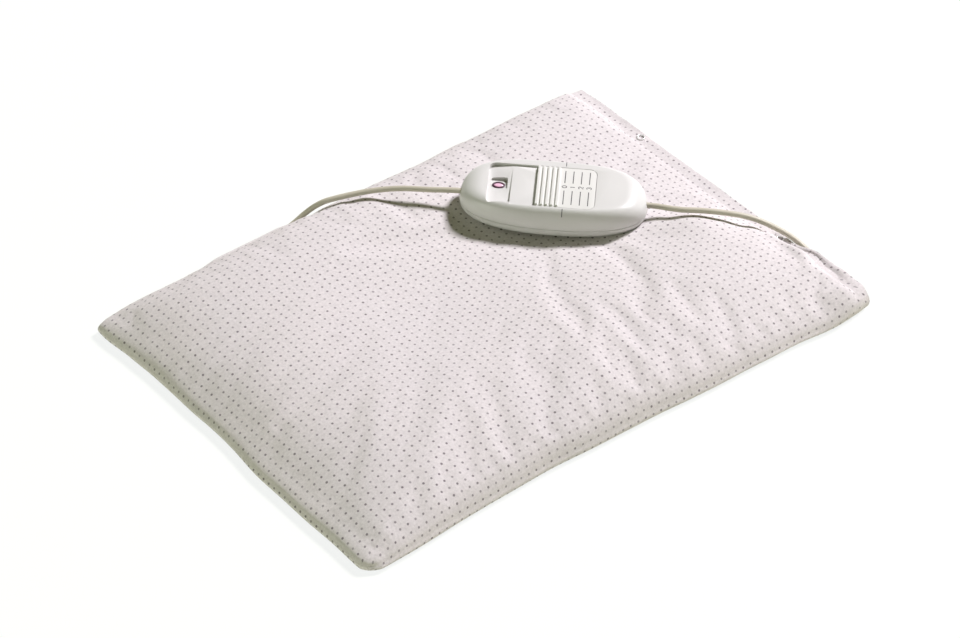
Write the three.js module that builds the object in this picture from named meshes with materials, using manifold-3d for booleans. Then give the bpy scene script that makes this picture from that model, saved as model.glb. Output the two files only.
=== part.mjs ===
// Electric heating pad with an in-line slide controller, lying on a table.
// Millimetres, +Z up, origin under the middle of the pad, X along its long side.

import * as THREE from 'three';
import { mergeVertices } from 'three/addons/utils/BufferGeometryUtils.js';
import Module from 'manifold-3d';

const wasm = await Module();
wasm.setup();

// Fits shared by all pieces.
const seat = 0.3;              // gap between pieces that touch
const run = 0.5;               // clearance round pieces that slide

// Cover: two cotton panels sewn on three sides, open at +X and closed there by snaps.
const padLength = 400;
const padWidth = 290;
const clothThick = 1.5;
const hemBand = 12;            // flat sewn band along the short closed side
const hemThick = [1.5, 5];     // front panel at its sewn edge: plain at the rear, folded elsewhere
const seamHeight = 3;          // middle of the sewn edge above the underside
const mouthBand = 10;          // hem of the front panel along the open side
const mouthHeight = 7.6;       // underside of the front panel at the open side
const mouthRaise = 6.5;        // how much higher it gapes beyond the pad lead
const mouthRaiseAt = [-112, -86];
const drawnIn = [7, 0.5];      // how far the front and rear sides draw in
const drawnAt = -70;           // deepest place of the front side, and its reach to both sides
const drawnReach = [110, 150];
const frontSwell = 2.8;        // outward swell of the front side near the open end
const frontSwellAt = [168, 24];
const endSwell = [1.2, 3.6, 2.4]; // outward swell of the -X end: all along, more in front, more at the rear
const endSwellFront = [-40, 10];
const endSwellRear = [108, 135];
const cornerCut = 0.6;
const edgeTurn = 4;            // how far the rounded edge falls, and over what width
const edgeTurnWide = 12;
const hemCrease = [1, 0.3];    // depth of the stitched crease, in front and at the rear
const hemCreaseAt = [-60, 20];
const hemCreaseWide = 5;

// Crown of the filled cover.
const crown = 33.5;            // height of the fill above the underside, mid-pad
const crownLean = 14;          // how much higher the crown is at -X than at +X
const dipDepth = 14;           // hollow under the controller
const dipAt = [80, 32];
const dipSpread = [115, 56];
const dipBeyond = [90, 90];    // its spread toward +X and toward the rear
const lump = 5;                // rise beside the pad lead
const lumpAt = [152, -30];
const lumpWide = 28;
const endPower = [4, 8];       // fullness of the -X and +X ends
const endRoot = [1.25, 0.43];
const mouthSlope = [4, 0.8];   // gentler +X end behind the pad lead
const mouthSlopeAt = [-84, -30];
const mouthSlopeRear = [60, 120];
const frontPower = 4;
const frontRoot = [0.62, 0.9];
const rearPower = 11;
const rearRoot = [0.9, 0.65, 0.45];

// Soft folds that run in from the front side.
const foldAt = [-62, -18, 4, 34, 78];
const foldHigh = [0.5, 0.7, 1, 0.8, 0.5];
const foldWide = 7;
const foldBegin = [-104, -66];
const foldEnd = [-143, -128];

// Underside, raised at the rear edge over the folded mains lead.
const tuckLeadLift = 6.4;
const tuckPlugLift = 16.4;
const tuckHankLift = 10.9;
const tuckInset = [32, 54];    // from the -X side, where the raising starts and is full
const tuckPlugFrom = [-128, -108];
const tuckPlugTo = [-60, -40];
const tuckTo = [90, 122];
const tuckFront = [44, 80];
const tuckPlugRear = [124, 136];
const tuckRearDrop = 3.4;      // how much lower the edge is behind the hank
const tuckRearAt = [134, 145];

// Heating layer inside the cover.
const fillInset = [16, 22, 21, 19];   // from the cover's -X, +X, -Y and +Y sides
const backFleece = 1.2;
const wireDia = 1.4;
const wireRoom = 3;
const wirePitch = 26;
const wireRows = 9;
const wireInset = [32, 50, 33];      // from the cover's -X, +X and -Y sides

// Cords.
const cordDia = 3.8;
const cordSides = 8;
const hankRun = 72;
const hankTurns = 4.75;
const hankPitch = 5.4;
const hankFold = 11.6;         // radius of the tightest fold
const hankClimb = 2.125;       // turn at which the spiral reverses and climbs
const hankWaist = 0.19;        // share drawn in under the tie
const hankLayer = 4.3;
const hankAt = [20, 110];
const strapThick = 0.8;
const strapWide = 9;

// Two-pin plug.
const plugLength = 36;
const plugWidth = 35;
const plugThick = 13.8;
const plugNeck = 17;
const pinDia = 4;
const pinPitch = 18.6;
const pinLength = 19;

// Controller housing, in its own frame: +X toward the pad lead, +Z up.
const boxLength = 124;
const boxWidth = 57;
const boxHeight = 22.5;
const boxWall = 2;
const partingHeight = 7.5;
const topInset = [15, 6];
const baseInset = [8, 5];
const planPower = [2.4, 3.2];
const boxAt = [88.6, 41, 20.4];
const boxYaw = -43.3;
const boxPitch = 2;
const boxRoll = 2.5;
const portHeight = 11;

// Slide switch.
const stepLength = 5.4;
const stepCount = 3;
const trackRight = 27.5;
const trackWidth = 37;
const trackDepth = 1.5;
const sliderLength = 39;
const ribCount = 5;
const ribPitch = 2.9;
const ribHeight = 1.3;
const legSize = [5.4, 6];
const windowLength = 15.6;
const windowDepth = 2.6;
const pocketSize = [9.6, 9.4];
const pocketDepth = 3;
const lensSize = [7, 4.8];
const lensRim = 0.8;
const tubWall = 1.6;
const boardThick = 1.4;
const boardTop = 10;

const travel = stepLength * stepCount;
const trackLeft = trackRight - seat - sliderLength - travel - seat;
const cordRadius = cordDia / 2;
const halfX = padLength / 2;
const halfY = padWidth / 2;
const fillLeft = -halfX + fillInset[0];
const fillRight = halfX - fillInset[1];
const fillFront = -halfY + fillInset[2];
const fillRear = halfY - fillInset[3];
const wireEnds = [-halfX + wireInset[0], halfX - wireInset[1]];
const wireFirst = -halfY + wireInset[2];
const tuckFrom = tuckInset.map((inset) => -halfX + inset);

const colours = {
  cotton: new THREE.MeshStandardMaterial({ color: 0xeae4e3, roughness: 0.95, metalness: 0 }),
  fleece: new THREE.MeshStandardMaterial({ color: 0xdfdcd4, roughness: 1, metalness: 0 }),
  shell: new THREE.MeshStandardMaterial({ color: 0xdfe0dc, roughness: 0.42, metalness: 0 }),
  cord: new THREE.MeshStandardMaterial({ color: 0xb5b09c, roughness: 0.5, metalness: 0 }),
  lens: new THREE.MeshStandardMaterial({ color: 0xe9b3cb, roughness: 0.2, metalness: 0 }),
  rim: new THREE.MeshStandardMaterial({ color: 0x46152f, roughness: 0.4, metalness: 0 }),
  metal: new THREE.MeshStandardMaterial({ color: 0xc9c7c0, roughness: 0.35, metalness: 0.9 }),
  brass: new THREE.MeshStandardMaterial({ color: 0xc8a45c, roughness: 0.35, metalness: 0.9 }),
  board: new THREE.MeshStandardMaterial({ color: 0xa98a4f, roughness: 0.6, metalness: 0 }),
  glass: new THREE.MeshStandardMaterial({ color: 0xd9a89a, roughness: 0.15, metalness: 0 }),
  dark: new THREE.MeshStandardMaterial({ color: 0x3a3a3c, roughness: 0.5, metalness: 0 }),
  wire: new THREE.MeshStandardMaterial({ color: 0xe6e0d0, roughness: 0.6, metalness: 0 }),
};

const part = new THREE.Group();
const controller = new THREE.Group();
controller.position.set(...boxAt);
controller.rotation.set(
  THREE.MathUtils.degToRad(boxRoll),
  THREE.MathUtils.degToRad(boxPitch),
  THREE.MathUtils.degToRad(boxYaw),
  'ZYX',
);
controller.updateMatrix();
part.add(controller);

function add(name, geometry, material, parent = part) {
  const mesh = new THREE.Mesh(geometry, material);
  mesh.name = name;
  parent.add(mesh);
  return mesh;
}

// Booleans: three.js geometry in, three.js geometry out.
function solid(geometry, x = 0, y = 0, z = 0) {
  const bare = geometry.clone().translate(x, y, z);
  bare.deleteAttribute('normal');
  bare.deleteAttribute('uv');
  const merged = mergeVertices(bare, 1e-4);
  const kept = [];
  const index = merged.index.array;
  for (let i = 0; i < index.length; i += 3) {
    const [a, b, c] = [index[i], index[i + 1], index[i + 2]];
    if (a !== b && b !== c && c !== a) kept.push(a, b, c);
  }
  return new wasm.Manifold(new wasm.Mesh({
    numProp: 3,
    vertProperties: new Float32Array(merged.attributes.position.array),
    triVerts: new Uint32Array(kept),
  }));
}

function geometryOf(body) {
  const mesh = body.getMesh();
  const geometry = new THREE.BufferGeometry();
  geometry.setAttribute('position', new THREE.BufferAttribute(new Float32Array(mesh.vertProperties), 3));
  geometry.setIndex(new THREE.BufferAttribute(new Uint32Array(mesh.triVerts), 1));
  geometry.computeVertexNormals();
  return geometry;
}

function box(x0, x1, y0, y1, z0, z1) {
  const shape = new THREE.BoxGeometry(x1 - x0, y1 - y0, z1 - z0);
  return shape.translate((x0 + x1) / 2, (y0 + y1) / 2, (z0 + z1) / 2);
}

function post(radius, x, y, z0, z1, sides = 16) {
  const shape = new THREE.CylinderGeometry(radius, radius, z1 - z0, sides);
  return shape.rotateX(Math.PI / 2).translate(x, y, (z0 + z1) / 2);
}

// Skin over a row of rings with as many points each, closed by a fan at both ends.
function skin(rings) {
  const count = rings[0].length;
  const points = rings.flat();
  const faces = [];
  for (let k = 0; k + 1 < rings.length; k += 1) {
    for (let i = 0; i < count; i += 1) {
      const a = k * count + i;
      const b = k * count + ((i + 1) % count);
      faces.push(a, b, b + count, a, b + count, a + count);
    }
  }
  for (const end of [0, rings.length - 1]) {
    const middle = new THREE.Vector3();
    rings[end].forEach((p) => middle.addScaledVector(p, 1 / count));
    points.push(middle);
    for (let i = 0; i < count; i += 1) {
      const a = end * count + i;
      const b = end * count + ((i + 1) % count);
      if (end === 0) faces.push(points.length - 1, b, a);
      else faces.push(points.length - 1, a, b);
    }
  }
  const geometry = new THREE.BufferGeometry().setFromPoints(points);
  geometry.setIndex(faces);
  geometry.computeVertexNormals();
  return geometry;
}

// Path that turns at its own points, so that a rod along it has a ring at each of them.
class NodePath extends THREE.Curve {
  constructor(nodes) {
    super();
    this.nodes = nodes;
  }

  getPointAt(u) {
    return this.nodes[Math.round(u * (this.nodes.length - 1))].clone();
  }

  getTangentAt(u) {
    const i = Math.round(u * (this.nodes.length - 1));
    const before = this.nodes[Math.max(i - 1, 0)];
    const after = this.nodes[Math.min(i + 1, this.nodes.length - 1)];
    return after.clone().sub(before).normalize();
  }
}

// Round tube along a smooth path, with flat ends.
function tube(points, diameter, steps, sides = cordSides) {
  return rod(new THREE.CatmullRomCurve3(points, false, 'centripetal'), diameter, steps, sides);
}

function rod(path, diameter, steps, sides) {
  const round = new THREE.Shape();
  round.absarc(0, 0, diameter / 2, 0, Math.PI * 2);
  return new THREE.ExtrudeGeometry(round, {
    steps, curveSegments: sides / 2, bevelEnabled: false, extrudePath: path,
  });
}

const v = (x, y, z) => new THREE.Vector3(x, y, z);
const mix = THREE.MathUtils.lerp;
const ease = (from, to, value) => THREE.MathUtils.smoothstep(value, from, to);

// Underside of the cover: flat on the table, raised where the lead is tucked below.
function underside(x, y) {
  const over = mix(tuckPlugLift, tuckHankLift, ease(...tuckPlugRear, y));
  const begin = mix(tuckLeadLift, over, ease(...tuckPlugFrom, x));
  const hankLift = tuckHankLift - tuckRearDrop * ease(...tuckRearAt, y);
  const along = mix(begin, hankLift, ease(...tuckPlugTo, x));
  const ends = ease(...tuckFrom, x) * (1 - ease(...tuckTo, x));
  return along * ends * ease(...tuckFront, y);
}

// Top of the sewn edge above the underside.
function hemTop(x, y) {
  const folded = Math.max(1 - ease(-170, -130, x), 1 - ease(20, 80, y), ease(150, 190, x));
  return seamHeight + seat / 2 + mix(hemThick[0], hemThick[1], folded);
}

function folds(x, y) {
  const along = (1 - ease(...foldBegin, y)) * ease(...foldEnd, y);
  return along * foldAt.reduce(
    (sum, at, k) => sum + foldHigh[k] * Math.exp(-(((x - at) / foldWide) ** 2)), 0,
  );
}

// Fall of the top toward the open end: steep with a valley in front, a plain slope behind the lead.
function mouthFall(x, y) {
  const right = Math.min(Math.max(x / (padLength / 2 - mouthBand), 0), 1);
  const steep = (1 - right ** endPower[1]) ** endRoot[1];
  const slope = (1 - right ** mouthSlope[0]) ** mouthSlope[1];
  return mix(steep, slope, ease(...mouthSlopeAt, y) * (1 - 0.7 * ease(...mouthSlopeRear, y)));
}

// How far the rounded edge has fallen near the -X and front sides.
function turnedEdge(x, y) {
  const near = Math.min(Math.max(1 - Math.min(x + halfX, y + halfY) / edgeTurnWide, 0), 1);
  return edgeTurn * (1 - Math.sqrt(1 - near * near)) * (1 - ease(halfX - 50, halfX - 10, x));
}

// Top of the cover: a leaning crown that falls off to the seams, with a hollow for the controller.
function topside(x, y) {
  const left = Math.min(Math.max(-x / (padLength / 2), 0), 1);
  const front = Math.min(Math.max(-y / (padWidth / 2 + 1), 0), 1);
  const rear = Math.min(Math.max(y / (padWidth / 2 + 3), 0), 1);
  const soft = mix(frontRoot[0], frontRoot[1], ease(0, padLength * 0.4, x));
  const round = mix(rearRoot[0], rearRoot[1], ease(-padLength * 0.4, -padLength * 0.1, x))
    + (rearRoot[2] - rearRoot[1]) * ease(90, 150, x);
  const fall = (1 - left ** endPower[0]) ** endRoot[0] * mouthFall(x, y)
    * (1 - front ** frontPower) ** soft * (1 - rear ** rearPower) ** round;
  const spreadX = x > dipAt[0] ? dipBeyond[0] : dipSpread[0];
  const spreadY = y > dipAt[1] ? dipBeyond[1] : dipSpread[1];
  const dip = dipDepth * Math.exp(
    -(((x - dipAt[0]) / spreadX) ** 2 + ((y - dipAt[1]) / spreadY) ** 2) / 2,
  );
  const beside = lump * Math.exp(-((x - lumpAt[0]) ** 2 + (y - lumpAt[1]) ** 2) / lumpWide ** 2);
  const hem = hemTop(x, y);
  const full = crown - (crownLean * x) / padLength - dip + folds(x, y) + beside;
  const edge = underside(x, y) + hem;
  const gape = mouthHeight + mouthRaise * (1 - ease(...mouthRaiseAt, y));
  const corner = y < 0 ? ease(halfY - 8, halfY + 6, -y) : ease(halfY - 22, halfY, y);
  const mouth = (gape + clothThick - hem) * (1 - corner)
    * ease(padLength / 2 - 4 * mouthBand, padLength / 2 - mouthBand, x);
  const crease = mix(hemCrease[0], hemCrease[1], ease(...hemCreaseAt, y))
    * Math.exp(-(((x + halfX - hemBand) / hemCreaseWide) ** 2));
  return Math.max(edge + mouth, hem + mouth + (full - hem - mouth) * fall) - turnedEdge(x, y) - crease;
}

// Grid lines of the soft layers, closer together where the cover turns down.
const inOrder = (lines) => lines.sort((a, b) => a - b).filter((x, i) => i === 0 || x - lines[i - 1] > 0.5);
const linesX = inOrder([
  -halfX, -halfX + 4, -halfX + hemBand, fillLeft, tuckFrom[0], mix(...tuckFrom, 0.5), tuckFrom[1],
  ...tuckPlugFrom, -84,
  ...tuckPlugTo, -28, -18, -7, 4, 19, 34, 54, 78, ...tuckTo, halfX - 64, ...wireEnds, halfX - 35,
  fillRight, halfX - 15, halfX - mouthBand, halfX,
]);
const wireY = Array.from({ length: wireRows }, (_, k) => wireFirst + k * wirePitch);
const linesY = inOrder([
  -halfY, -halfY + 4, -halfY + 11, fillFront, ...wireY, 57, 83, 111, fillRear,
  halfY - 11, halfY - 4, halfY,
]);

// Outline of the cover: long sides drawn in, -X end swelling, corners eased.
function outline(x, y) {
  const reach = drawnReach[x < drawnAt ? 0 : 1];
  const hollow = drawnIn[0] * Math.exp(-(((x - drawnAt) / reach) ** 2))
    - frontSwell * Math.exp(-(((x - frontSwellAt[0]) / frontSwellAt[1]) ** 2));
  const pull = y < 0 ? hollow * (y / halfY) ** 2 : -drawnIn[1] * (y / halfY) * (1 - (x / halfX) ** 2);
  const swell = endSwell[0] + endSwell[1] * (1 - ease(...endSwellFront, y))
    + endSwell[2] * ease(...endSwellRear, y);
  const end = swell * Math.max(-x / halfX, 0) ** 6;
  const corner = Math.abs(x) > halfX - 1 && Math.abs(y) > halfY - 1 ? cornerCut : 0;
  return [x - end - Math.sign(x) * corner, y + pull - Math.sign(y) * corner];
}

// Closed layer between two height fields over a grid.
function layer(xs, ys, low, high) {
  const columns = ys.length;
  const points = [];
  for (const field of [high, low]) {
    for (const x of xs) {
      for (const y of ys) points.push(v(...outline(x, y), field(x, y)));
    }
  }
  const under = xs.length * columns;
  const faces = [];
  for (let i = 0; i + 1 < xs.length; i += 1) {
    for (let j = 0; j + 1 < columns; j += 1) {
      const a = i * columns + j;
      const b = a + columns;
      faces.push(a, b, b + 1, a, b + 1, a + 1);
      faces.push(under + a, under + b + 1, under + b, under + a, under + a + 1, under + b + 1);
    }
  }
  const rim = [];
  for (let i = 0; i < xs.length; i += 1) rim.push(i * columns);
  for (let j = 1; j < columns; j += 1) rim.push((xs.length - 1) * columns + j);
  for (let i = xs.length - 2; i >= 0; i -= 1) rim.push(i * columns + columns - 1);
  for (let j = columns - 2; j > 0; j -= 1) rim.push(j);
  for (let k = 0; k < rim.length; k += 1) {
    const a = rim[k];
    const b = rim[(k + 1) % rim.length];
    faces.push(a, under + a, under + b, a, under + b, b);
  }
  const geometry = new THREE.BufferGeometry().setFromPoints(points);
  geometry.setIndex(faces);
  geometry.computeVertexNormals();
  return geometry;
}

// Height of the sewn edge above the underside: full at the seams, none inside and at the mouth.
function seamRise(x, y) {
  const inLeft = 1 - ease(-halfX + hemBand - 2, -halfX + hemBand + 14, x);
  const inSides = ease(halfY - 20, halfY - 3, Math.abs(y));
  return Math.max(inLeft, inSides) * (seamHeight - clothThick - seat / 2);
}

const backLow = (x, y) => underside(x, y) + seamRise(x, y);
const backHigh = (x, y) => backLow(x, y) + clothThick;
function sewn(x, y) {
  const inLeft = 1 - ease(-halfX + hemBand - 3, -halfX + hemBand + 2, x);
  return Math.max(inLeft, ease(halfY - 5, halfY - 1, Math.abs(y)));
}
const frontTop = (x, y) => Math.max(topside(x, y), backHigh(x, y) + seat + clothThick);
const frontLow = (x, y) => mix(
  Math.max(frontTop(x, y) - clothThick, backHigh(x, y) + seat), backHigh(x, y) + seat, sewn(x, y),
);

add('cotton_cover_front', layer(linesX, linesY, frontLow, frontTop), colours.cotton);
add('cotton_cover_back', layer(linesX, linesY, backLow, backHigh), colours.cotton);

// Heating layer: a fleece on each side of the wire.
const fillX = linesX.filter((x) => x >= fillLeft && x <= fillRight);
const fillY = linesY.filter((y) => y >= fillFront && y <= fillRear);
const fleeceLow = (x, y) => backHigh(x, y) + seat;
const wireFloor = (x, y) => fleeceLow(x, y) + backFleece;
const fillLow = (x, y) => wireFloor(x, y) + wireRoom;
const fillHigh = (x, y) => frontLow(x, y) - seat;
add('heating_layer_back_fleece', layer(fillX, fillY, fleeceLow, wireFloor), colours.fleece);
add('heating_layer_front_fleece', layer(fillX, fillY, fillLow, fillHigh), colours.fleece);

const wireLevel = (x, y) => wireFloor(x, y) + wireRoom / 2;
const wirePath = [];
wireY.forEach((y, k) => {
  const forth = k % 2 === 0;
  const stops = y > tuckFront[0] ? fillX.filter((x) => x >= wireEnds[0] && x <= wireEnds[1]) : wireEnds;
  const ordered = forth ? stops : [...stops].reverse();
  ordered.forEach((x) => wirePath.push(v(...outline(x, y), wireLevel(x, y))));
  if (k + 1 < wireRows) {
    for (const turn of [0.25, 0.5, 0.75]) {
      const x = wireEnds[forth ? 1 : 0] + (forth ? 1 : -1) * Math.sin(turn * Math.PI) * wirePitch * 0.4;
      const bend = y + wirePitch * (0.5 - 0.5 * Math.cos(turn * Math.PI));
      wirePath.push(v(...outline(x, bend), wireLevel(x, bend)));
    }
  }
});
add('heating_wire', rod(new NodePath(wirePath), wireDia, wirePath.length - 1, 4), colours.wire);

// Two thermostats in the wire's plane.
const thermostatSize = [14, 6, 2.2];
[[-96, wireY[2]], [64, wireY[2]]].forEach(([x, y], i) => {
  const [long, wide, high] = thermostatSize;
  const z = wireLevel(x, y) - high / 2;
  const side = y + wirePitch / 2;
  add(`thermostat_${i + 1}`, box(x, x + long, side - wide / 2, side + wide / 2, z, z + high), colours.metal);
});

// Snap fasteners of the mouth: a ring on the front hem, a stud between the hems.
const snapRing = [3, 1.7, 0.9];
const snapStud = [2.6, 1.8];
const snapY = [76, -65];
snapY.forEach((y, i) => {
  const x = halfX - mouthBand / 2;
  const onTop = mouthHeight + clothThick + seat;
  const [outer, inner, high] = snapRing;
  const profile = [
    [inner, 0], [outer, 0], [outer, high * 0.5], [mix(outer, inner, 0.4), high], [inner, high * 0.6],
    [inner, 0],
  ];
  const ringShape = new THREE.LatheGeometry(profile.map(([r, h]) => new THREE.Vector2(r, h)), 20);
  add(`snap_ring_${i + 1}`, ringShape.rotateX(Math.PI / 2).translate(x, y, onTop), colours.metal);
  const low = clothThick + seat;
  const top = mouthHeight - seat;
  const [flange, waist] = snapStud;
  const studShape = new THREE.LatheGeometry([
    [0, 0], [flange, 0], [flange, 1], [waist, 1.6], [waist, top - low - 1.6], [flange, top - low - 1],
    [flange, top - low], [0, top - low],
  ].map(([r, h]) => new THREE.Vector2(r, h)), 16);
  const stud = solid(studShape.rotateX(Math.PI / 2).translate(x, y, low));
  add(`snap_stud_${i + 1}`, geometryOf(stud), colours.metal);
});

// Controller housing: rings of a superellipse plan, drawn in toward the top and the base.
function ring(z, inset, power, count = 40) {
  const a = boxLength / 2 - inset[0];
  const b = boxWidth / 2 - inset[1];
  const points = [];
  for (let i = 0; i < count; i += 1) {
    const t = (i / count) * Math.PI * 2;
    const c = Math.cos(t);
    const s = Math.sin(t);
    const x = a * Math.sign(c) * Math.abs(c) ** (2 / power);
    const y = b * Math.sign(s) * Math.abs(s) ** (2 / power);
    points.push(v(x, y, z));
  }
  return points;
}

const bulge = (s) => 1 - Math.sqrt(1 - s * s);
const domeSteps = [0, 0.25, 0.47, 0.66, 0.81, 0.92, 0.98, 1];
const baseSteps = [0, 0.4, 0.7, 0.9, 1];
const rimLevel = partingHeight + seat;
const domeRing = (s, wall, top) => ring(
  mix(rimLevel, top, s), topInset.map((t) => t * bulge(s) + wall), mix(planPower[0], planPower[1], s),
);
const baseRing = (s, wall, bottom) => ring(
  mix(partingHeight, bottom, s), baseInset.map((t) => t * bulge(s) + wall), planPower[0],
);
const domeOutside = domeSteps.map((s) => domeRing(s, 0, boxHeight));
const domeInside = domeSteps.map((s) => domeRing(s, boxWall, boxHeight - boxWall));
const baseOutside = baseSteps.map((s) => baseRing(s, 0, 0));
const baseInside = baseSteps.map((s) => baseRing(s, boxWall, boxWall));
const domeSolid = solid(skin(domeOutside));

const trackFloor = boxHeight - trackDepth;
const trackUnder = trackFloor - tubWall;
const windowFloor = boxHeight - windowDepth;
const pocketFloor = windowFloor - pocketDepth;
const windowLeft = trackLeft - windowLength;
const halfTrack = trackWidth / 2;
const pocketAt = [windowLeft + windowLength / 2 - 0.2, -0.6];
const above = boxHeight + 1;

const bossAt = [];
for (const x of [-34, 34]) for (const y of [-17, 17]) bossAt.push([x, y]);
const bossRadius = 3;
const screwRadius = 1.2;
const screwTop = partingHeight + 7;
const headRadius = 2.6;
const headHigh = 1.8;
const headRecess = 2.6;
const clampAt = boxLength / 2 - 10;
const clampSize = [6, 18, 2];
const clampScrewY = 6.4;
const clampPost = 2.1;
const clampUnder = portHeight + cordRadius + seat;
const cordEnd = clampAt - clampSize[0] / 2 - 2;

// Upper shell: dome, track tub with its slot, window recess with the lamp pocket, screw bosses.
const sliderRight = trackRight - seat;
const sliderLeft = sliderRight - sliderLength;
const legRight = sliderRight - travel - 2 * seat;
const legLeft = legRight - legSize[0];
let upper = solid(skin([...domeInside.reverse(), ...domeOutside]));
const tubHalf = halfTrack + tubWall;
const tubs = solid(box(trackLeft - tubWall, trackRight + tubWall, -tubHalf, tubHalf, trackUnder, above))
  .add(solid(box(windowLeft - tubWall, trackLeft, -tubHalf, tubHalf, windowFloor - tubWall, above)))
  .add(solid(box(
    pocketAt[0] - pocketSize[0] / 2 - tubWall, pocketAt[0] + pocketSize[0] / 2 + tubWall,
    pocketAt[1] - pocketSize[1] / 2 - tubWall, pocketAt[1] + pocketSize[1] / 2 + tubWall,
    pocketFloor - tubWall, windowFloor,
  )));
upper = upper.add(tubs.intersect(domeSolid));
for (const [x, y] of bossAt) {
  upper = upper.add(solid(post(bossRadius, x, y, rimLevel, boxHeight - 1)).intersect(domeSolid));
  upper = upper.subtract(solid(post(screwRadius + seat, x, y, 0, screwTop + seat)));
}
const rounded = new THREE.Shape();
const trackCorner = 3;
rounded.moveTo(trackLeft, -halfTrack);
rounded.lineTo(trackRight - trackCorner, -halfTrack);
rounded.absarc(trackRight - trackCorner, -halfTrack + trackCorner, trackCorner, -Math.PI / 2, 0);
rounded.absarc(trackRight - trackCorner, halfTrack - trackCorner, trackCorner, 0, Math.PI / 2);
rounded.lineTo(trackLeft, halfTrack);
const extrude = (shape, depth, segments = 4) => new THREE.ExtrudeGeometry(
  shape, { depth, bevelEnabled: false, curveSegments: segments },
);
upper = upper.subtract(solid(extrude(rounded, above - trackFloor), 0, 0, trackFloor));
upper = upper.subtract(solid(box(windowLeft, trackLeft + 0.01, -halfTrack, halfTrack, windowFloor, above)));
upper = upper.subtract(solid(box(
  pocketAt[0] - pocketSize[0] / 2, pocketAt[0] + pocketSize[0] / 2,
  pocketAt[1] - pocketSize[1] / 2, pocketAt[1] + pocketSize[1] / 2, pocketFloor, above,
)));
upper = upper.subtract(solid(box(
  legLeft - travel - run, legRight + run, -legSize[1] / 2 - run, legSize[1] / 2 + run, 0, above,
)));
const lensAt = [pocketAt[0], pocketAt[1] - 1];
const oval = (long, wide) => new THREE.Shape().absellipse(0, 0, long / 2, wide / 2, 0, Math.PI * 2);
upper = upper.subtract(solid(
  extrude(oval(lensSize[0] + 2 * seat, lensSize[1] + 2 * seat), 8, 10), lensAt[0], lensAt[1], pocketFloor - 7,
));
const port = new THREE.CylinderGeometry(cordRadius + seat, cordRadius + seat, boxLength + 20, 16);
upper = upper.subtract(solid(port.rotateZ(Math.PI / 2).translate(0, 0, portHeight))
  .subtract(solid(box(-cordEnd, cordEnd, -9, 9, 0, boxHeight))));

// Detent stops moulded under the tub.
const leafY = 10.4;
const leafThick = 0.5;
const leafEnds = [-21, 22];
const carriageTop = trackUnder - run;
const leafLow = carriageTop - 4;
for (const x of [leafEnds[0] - seat - 1.6, leafEnds[1] + seat]) {
  upper = upper.add(solid(box(x, x + 1.6, leafY - 1, leafY + 2, leafLow - 0.5, trackUnder + 0.1)));
}
add('controller_upper_shell', geometryOf(upper), colours.shell, controller);

// Lower shell: tray with screw towers, board posts and cord cradles.
let lower = solid(skin([...baseOutside.reverse(), ...baseInside]));
const baseSolid = solid(skin([...baseOutside]));
for (const [x, y] of bossAt) {
  lower = lower.add(solid(post(bossRadius + 0.4, x, y, 0.5, partingHeight - 0.1)).intersect(baseSolid));
}
const boardPosts = [];
for (const x of [-24, 24]) for (const y of [-9, 9]) boardPosts.push([x, y]);
for (const [x, y] of boardPosts) {
  lower = lower.add(solid(post(2, x, y, 1, boardTop - boardThick - seat, 12)));
}
for (const side of [-1, 1]) {
  const x = side * clampAt;
  lower = lower.add(solid(box(
    x - clampSize[0] / 2, x + clampSize[0] / 2, -3.4, 3.4, 1, portHeight - cordRadius - seat,
  )).subtract(solid(box(-boxLength, boxLength, -boxWidth, boxWidth, -5, 1))));
  for (const y of [-clampScrewY, clampScrewY]) {
    lower = lower.add(solid(post(clampPost, x, y, 1, clampUnder - seat, 12)));
    lower = lower.subtract(solid(post(0.9 + seat, x, y, 3, clampUnder, 10)));
  }
}
for (const [x, y] of bossAt) {
  lower = lower.subtract(solid(post(screwRadius + seat, x, y, -1, partingHeight + 1)));
  lower = lower.subtract(solid(post(headRadius + seat, x, y, -1, headRecess, 20)));
}
add('controller_lower_shell', geometryOf(lower), colours.shell, controller);

bossAt.forEach(([x, y], i) => {
  const head = headRecess - seat - headHigh;
  const screw = new THREE.LatheGeometry([
    [0, head], [headRadius, head], [headRadius, head + headHigh], [screwRadius, head + headHigh],
    [screwRadius, screwTop - 1], [0, screwTop],
  ].map(([r, z]) => new THREE.Vector2(r, z)), 14);
  const body = solid(screw.rotateX(Math.PI / 2).translate(x, y, 0));
  add(`housing_screw_${i + 1}`, geometryOf(body), colours.metal, controller);
});

// Slider: thumb plate with grip ribs and a leg through the slot.
const sliderTop = boxHeight - 0.1;
const sliderUnder = trackFloor + seat;
const legBottom = carriageTop - 4.4;
const plate = new THREE.Shape();
const plateCorner = trackCorner - seat;
const halfPlate = halfTrack - seat;
plate.moveTo(sliderLeft, -halfPlate);
plate.lineTo(sliderRight - plateCorner, -halfPlate);
plate.absarc(sliderRight - plateCorner, -halfPlate + plateCorner, plateCorner, -Math.PI / 2, 0);
plate.absarc(sliderRight - plateCorner, halfPlate - plateCorner, plateCorner, 0, Math.PI / 2);
plate.lineTo(sliderLeft, halfPlate);
let slider = solid(extrude(plate, sliderTop - sliderUnder), 0, 0, sliderUnder);
const halfLeg = legSize[1] / 2;
slider = slider.add(solid(box(legLeft, legRight, -halfLeg, halfLeg, legBottom, sliderUnder + 0.5)));
for (let k = 0; k < ribCount; k += 1) {
  const x = sliderLeft + k * ribPitch;
  const rib = new THREE.Shape();
  rib.moveTo(x, sliderTop - 0.5);
  rib.lineTo(x + ribPitch * 0.62, sliderTop - 0.5);
  rib.lineTo(x + ribPitch * 0.52, sliderTop + ribHeight);
  rib.lineTo(x + ribPitch * 0.1, sliderTop + ribHeight);
  const bar = extrude(rib, trackWidth - 2 * seat - 1.6).rotateX(Math.PI / 2);
  slider = slider.add(solid(bar, 0, halfTrack - seat - 0.8, 0));
}
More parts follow.
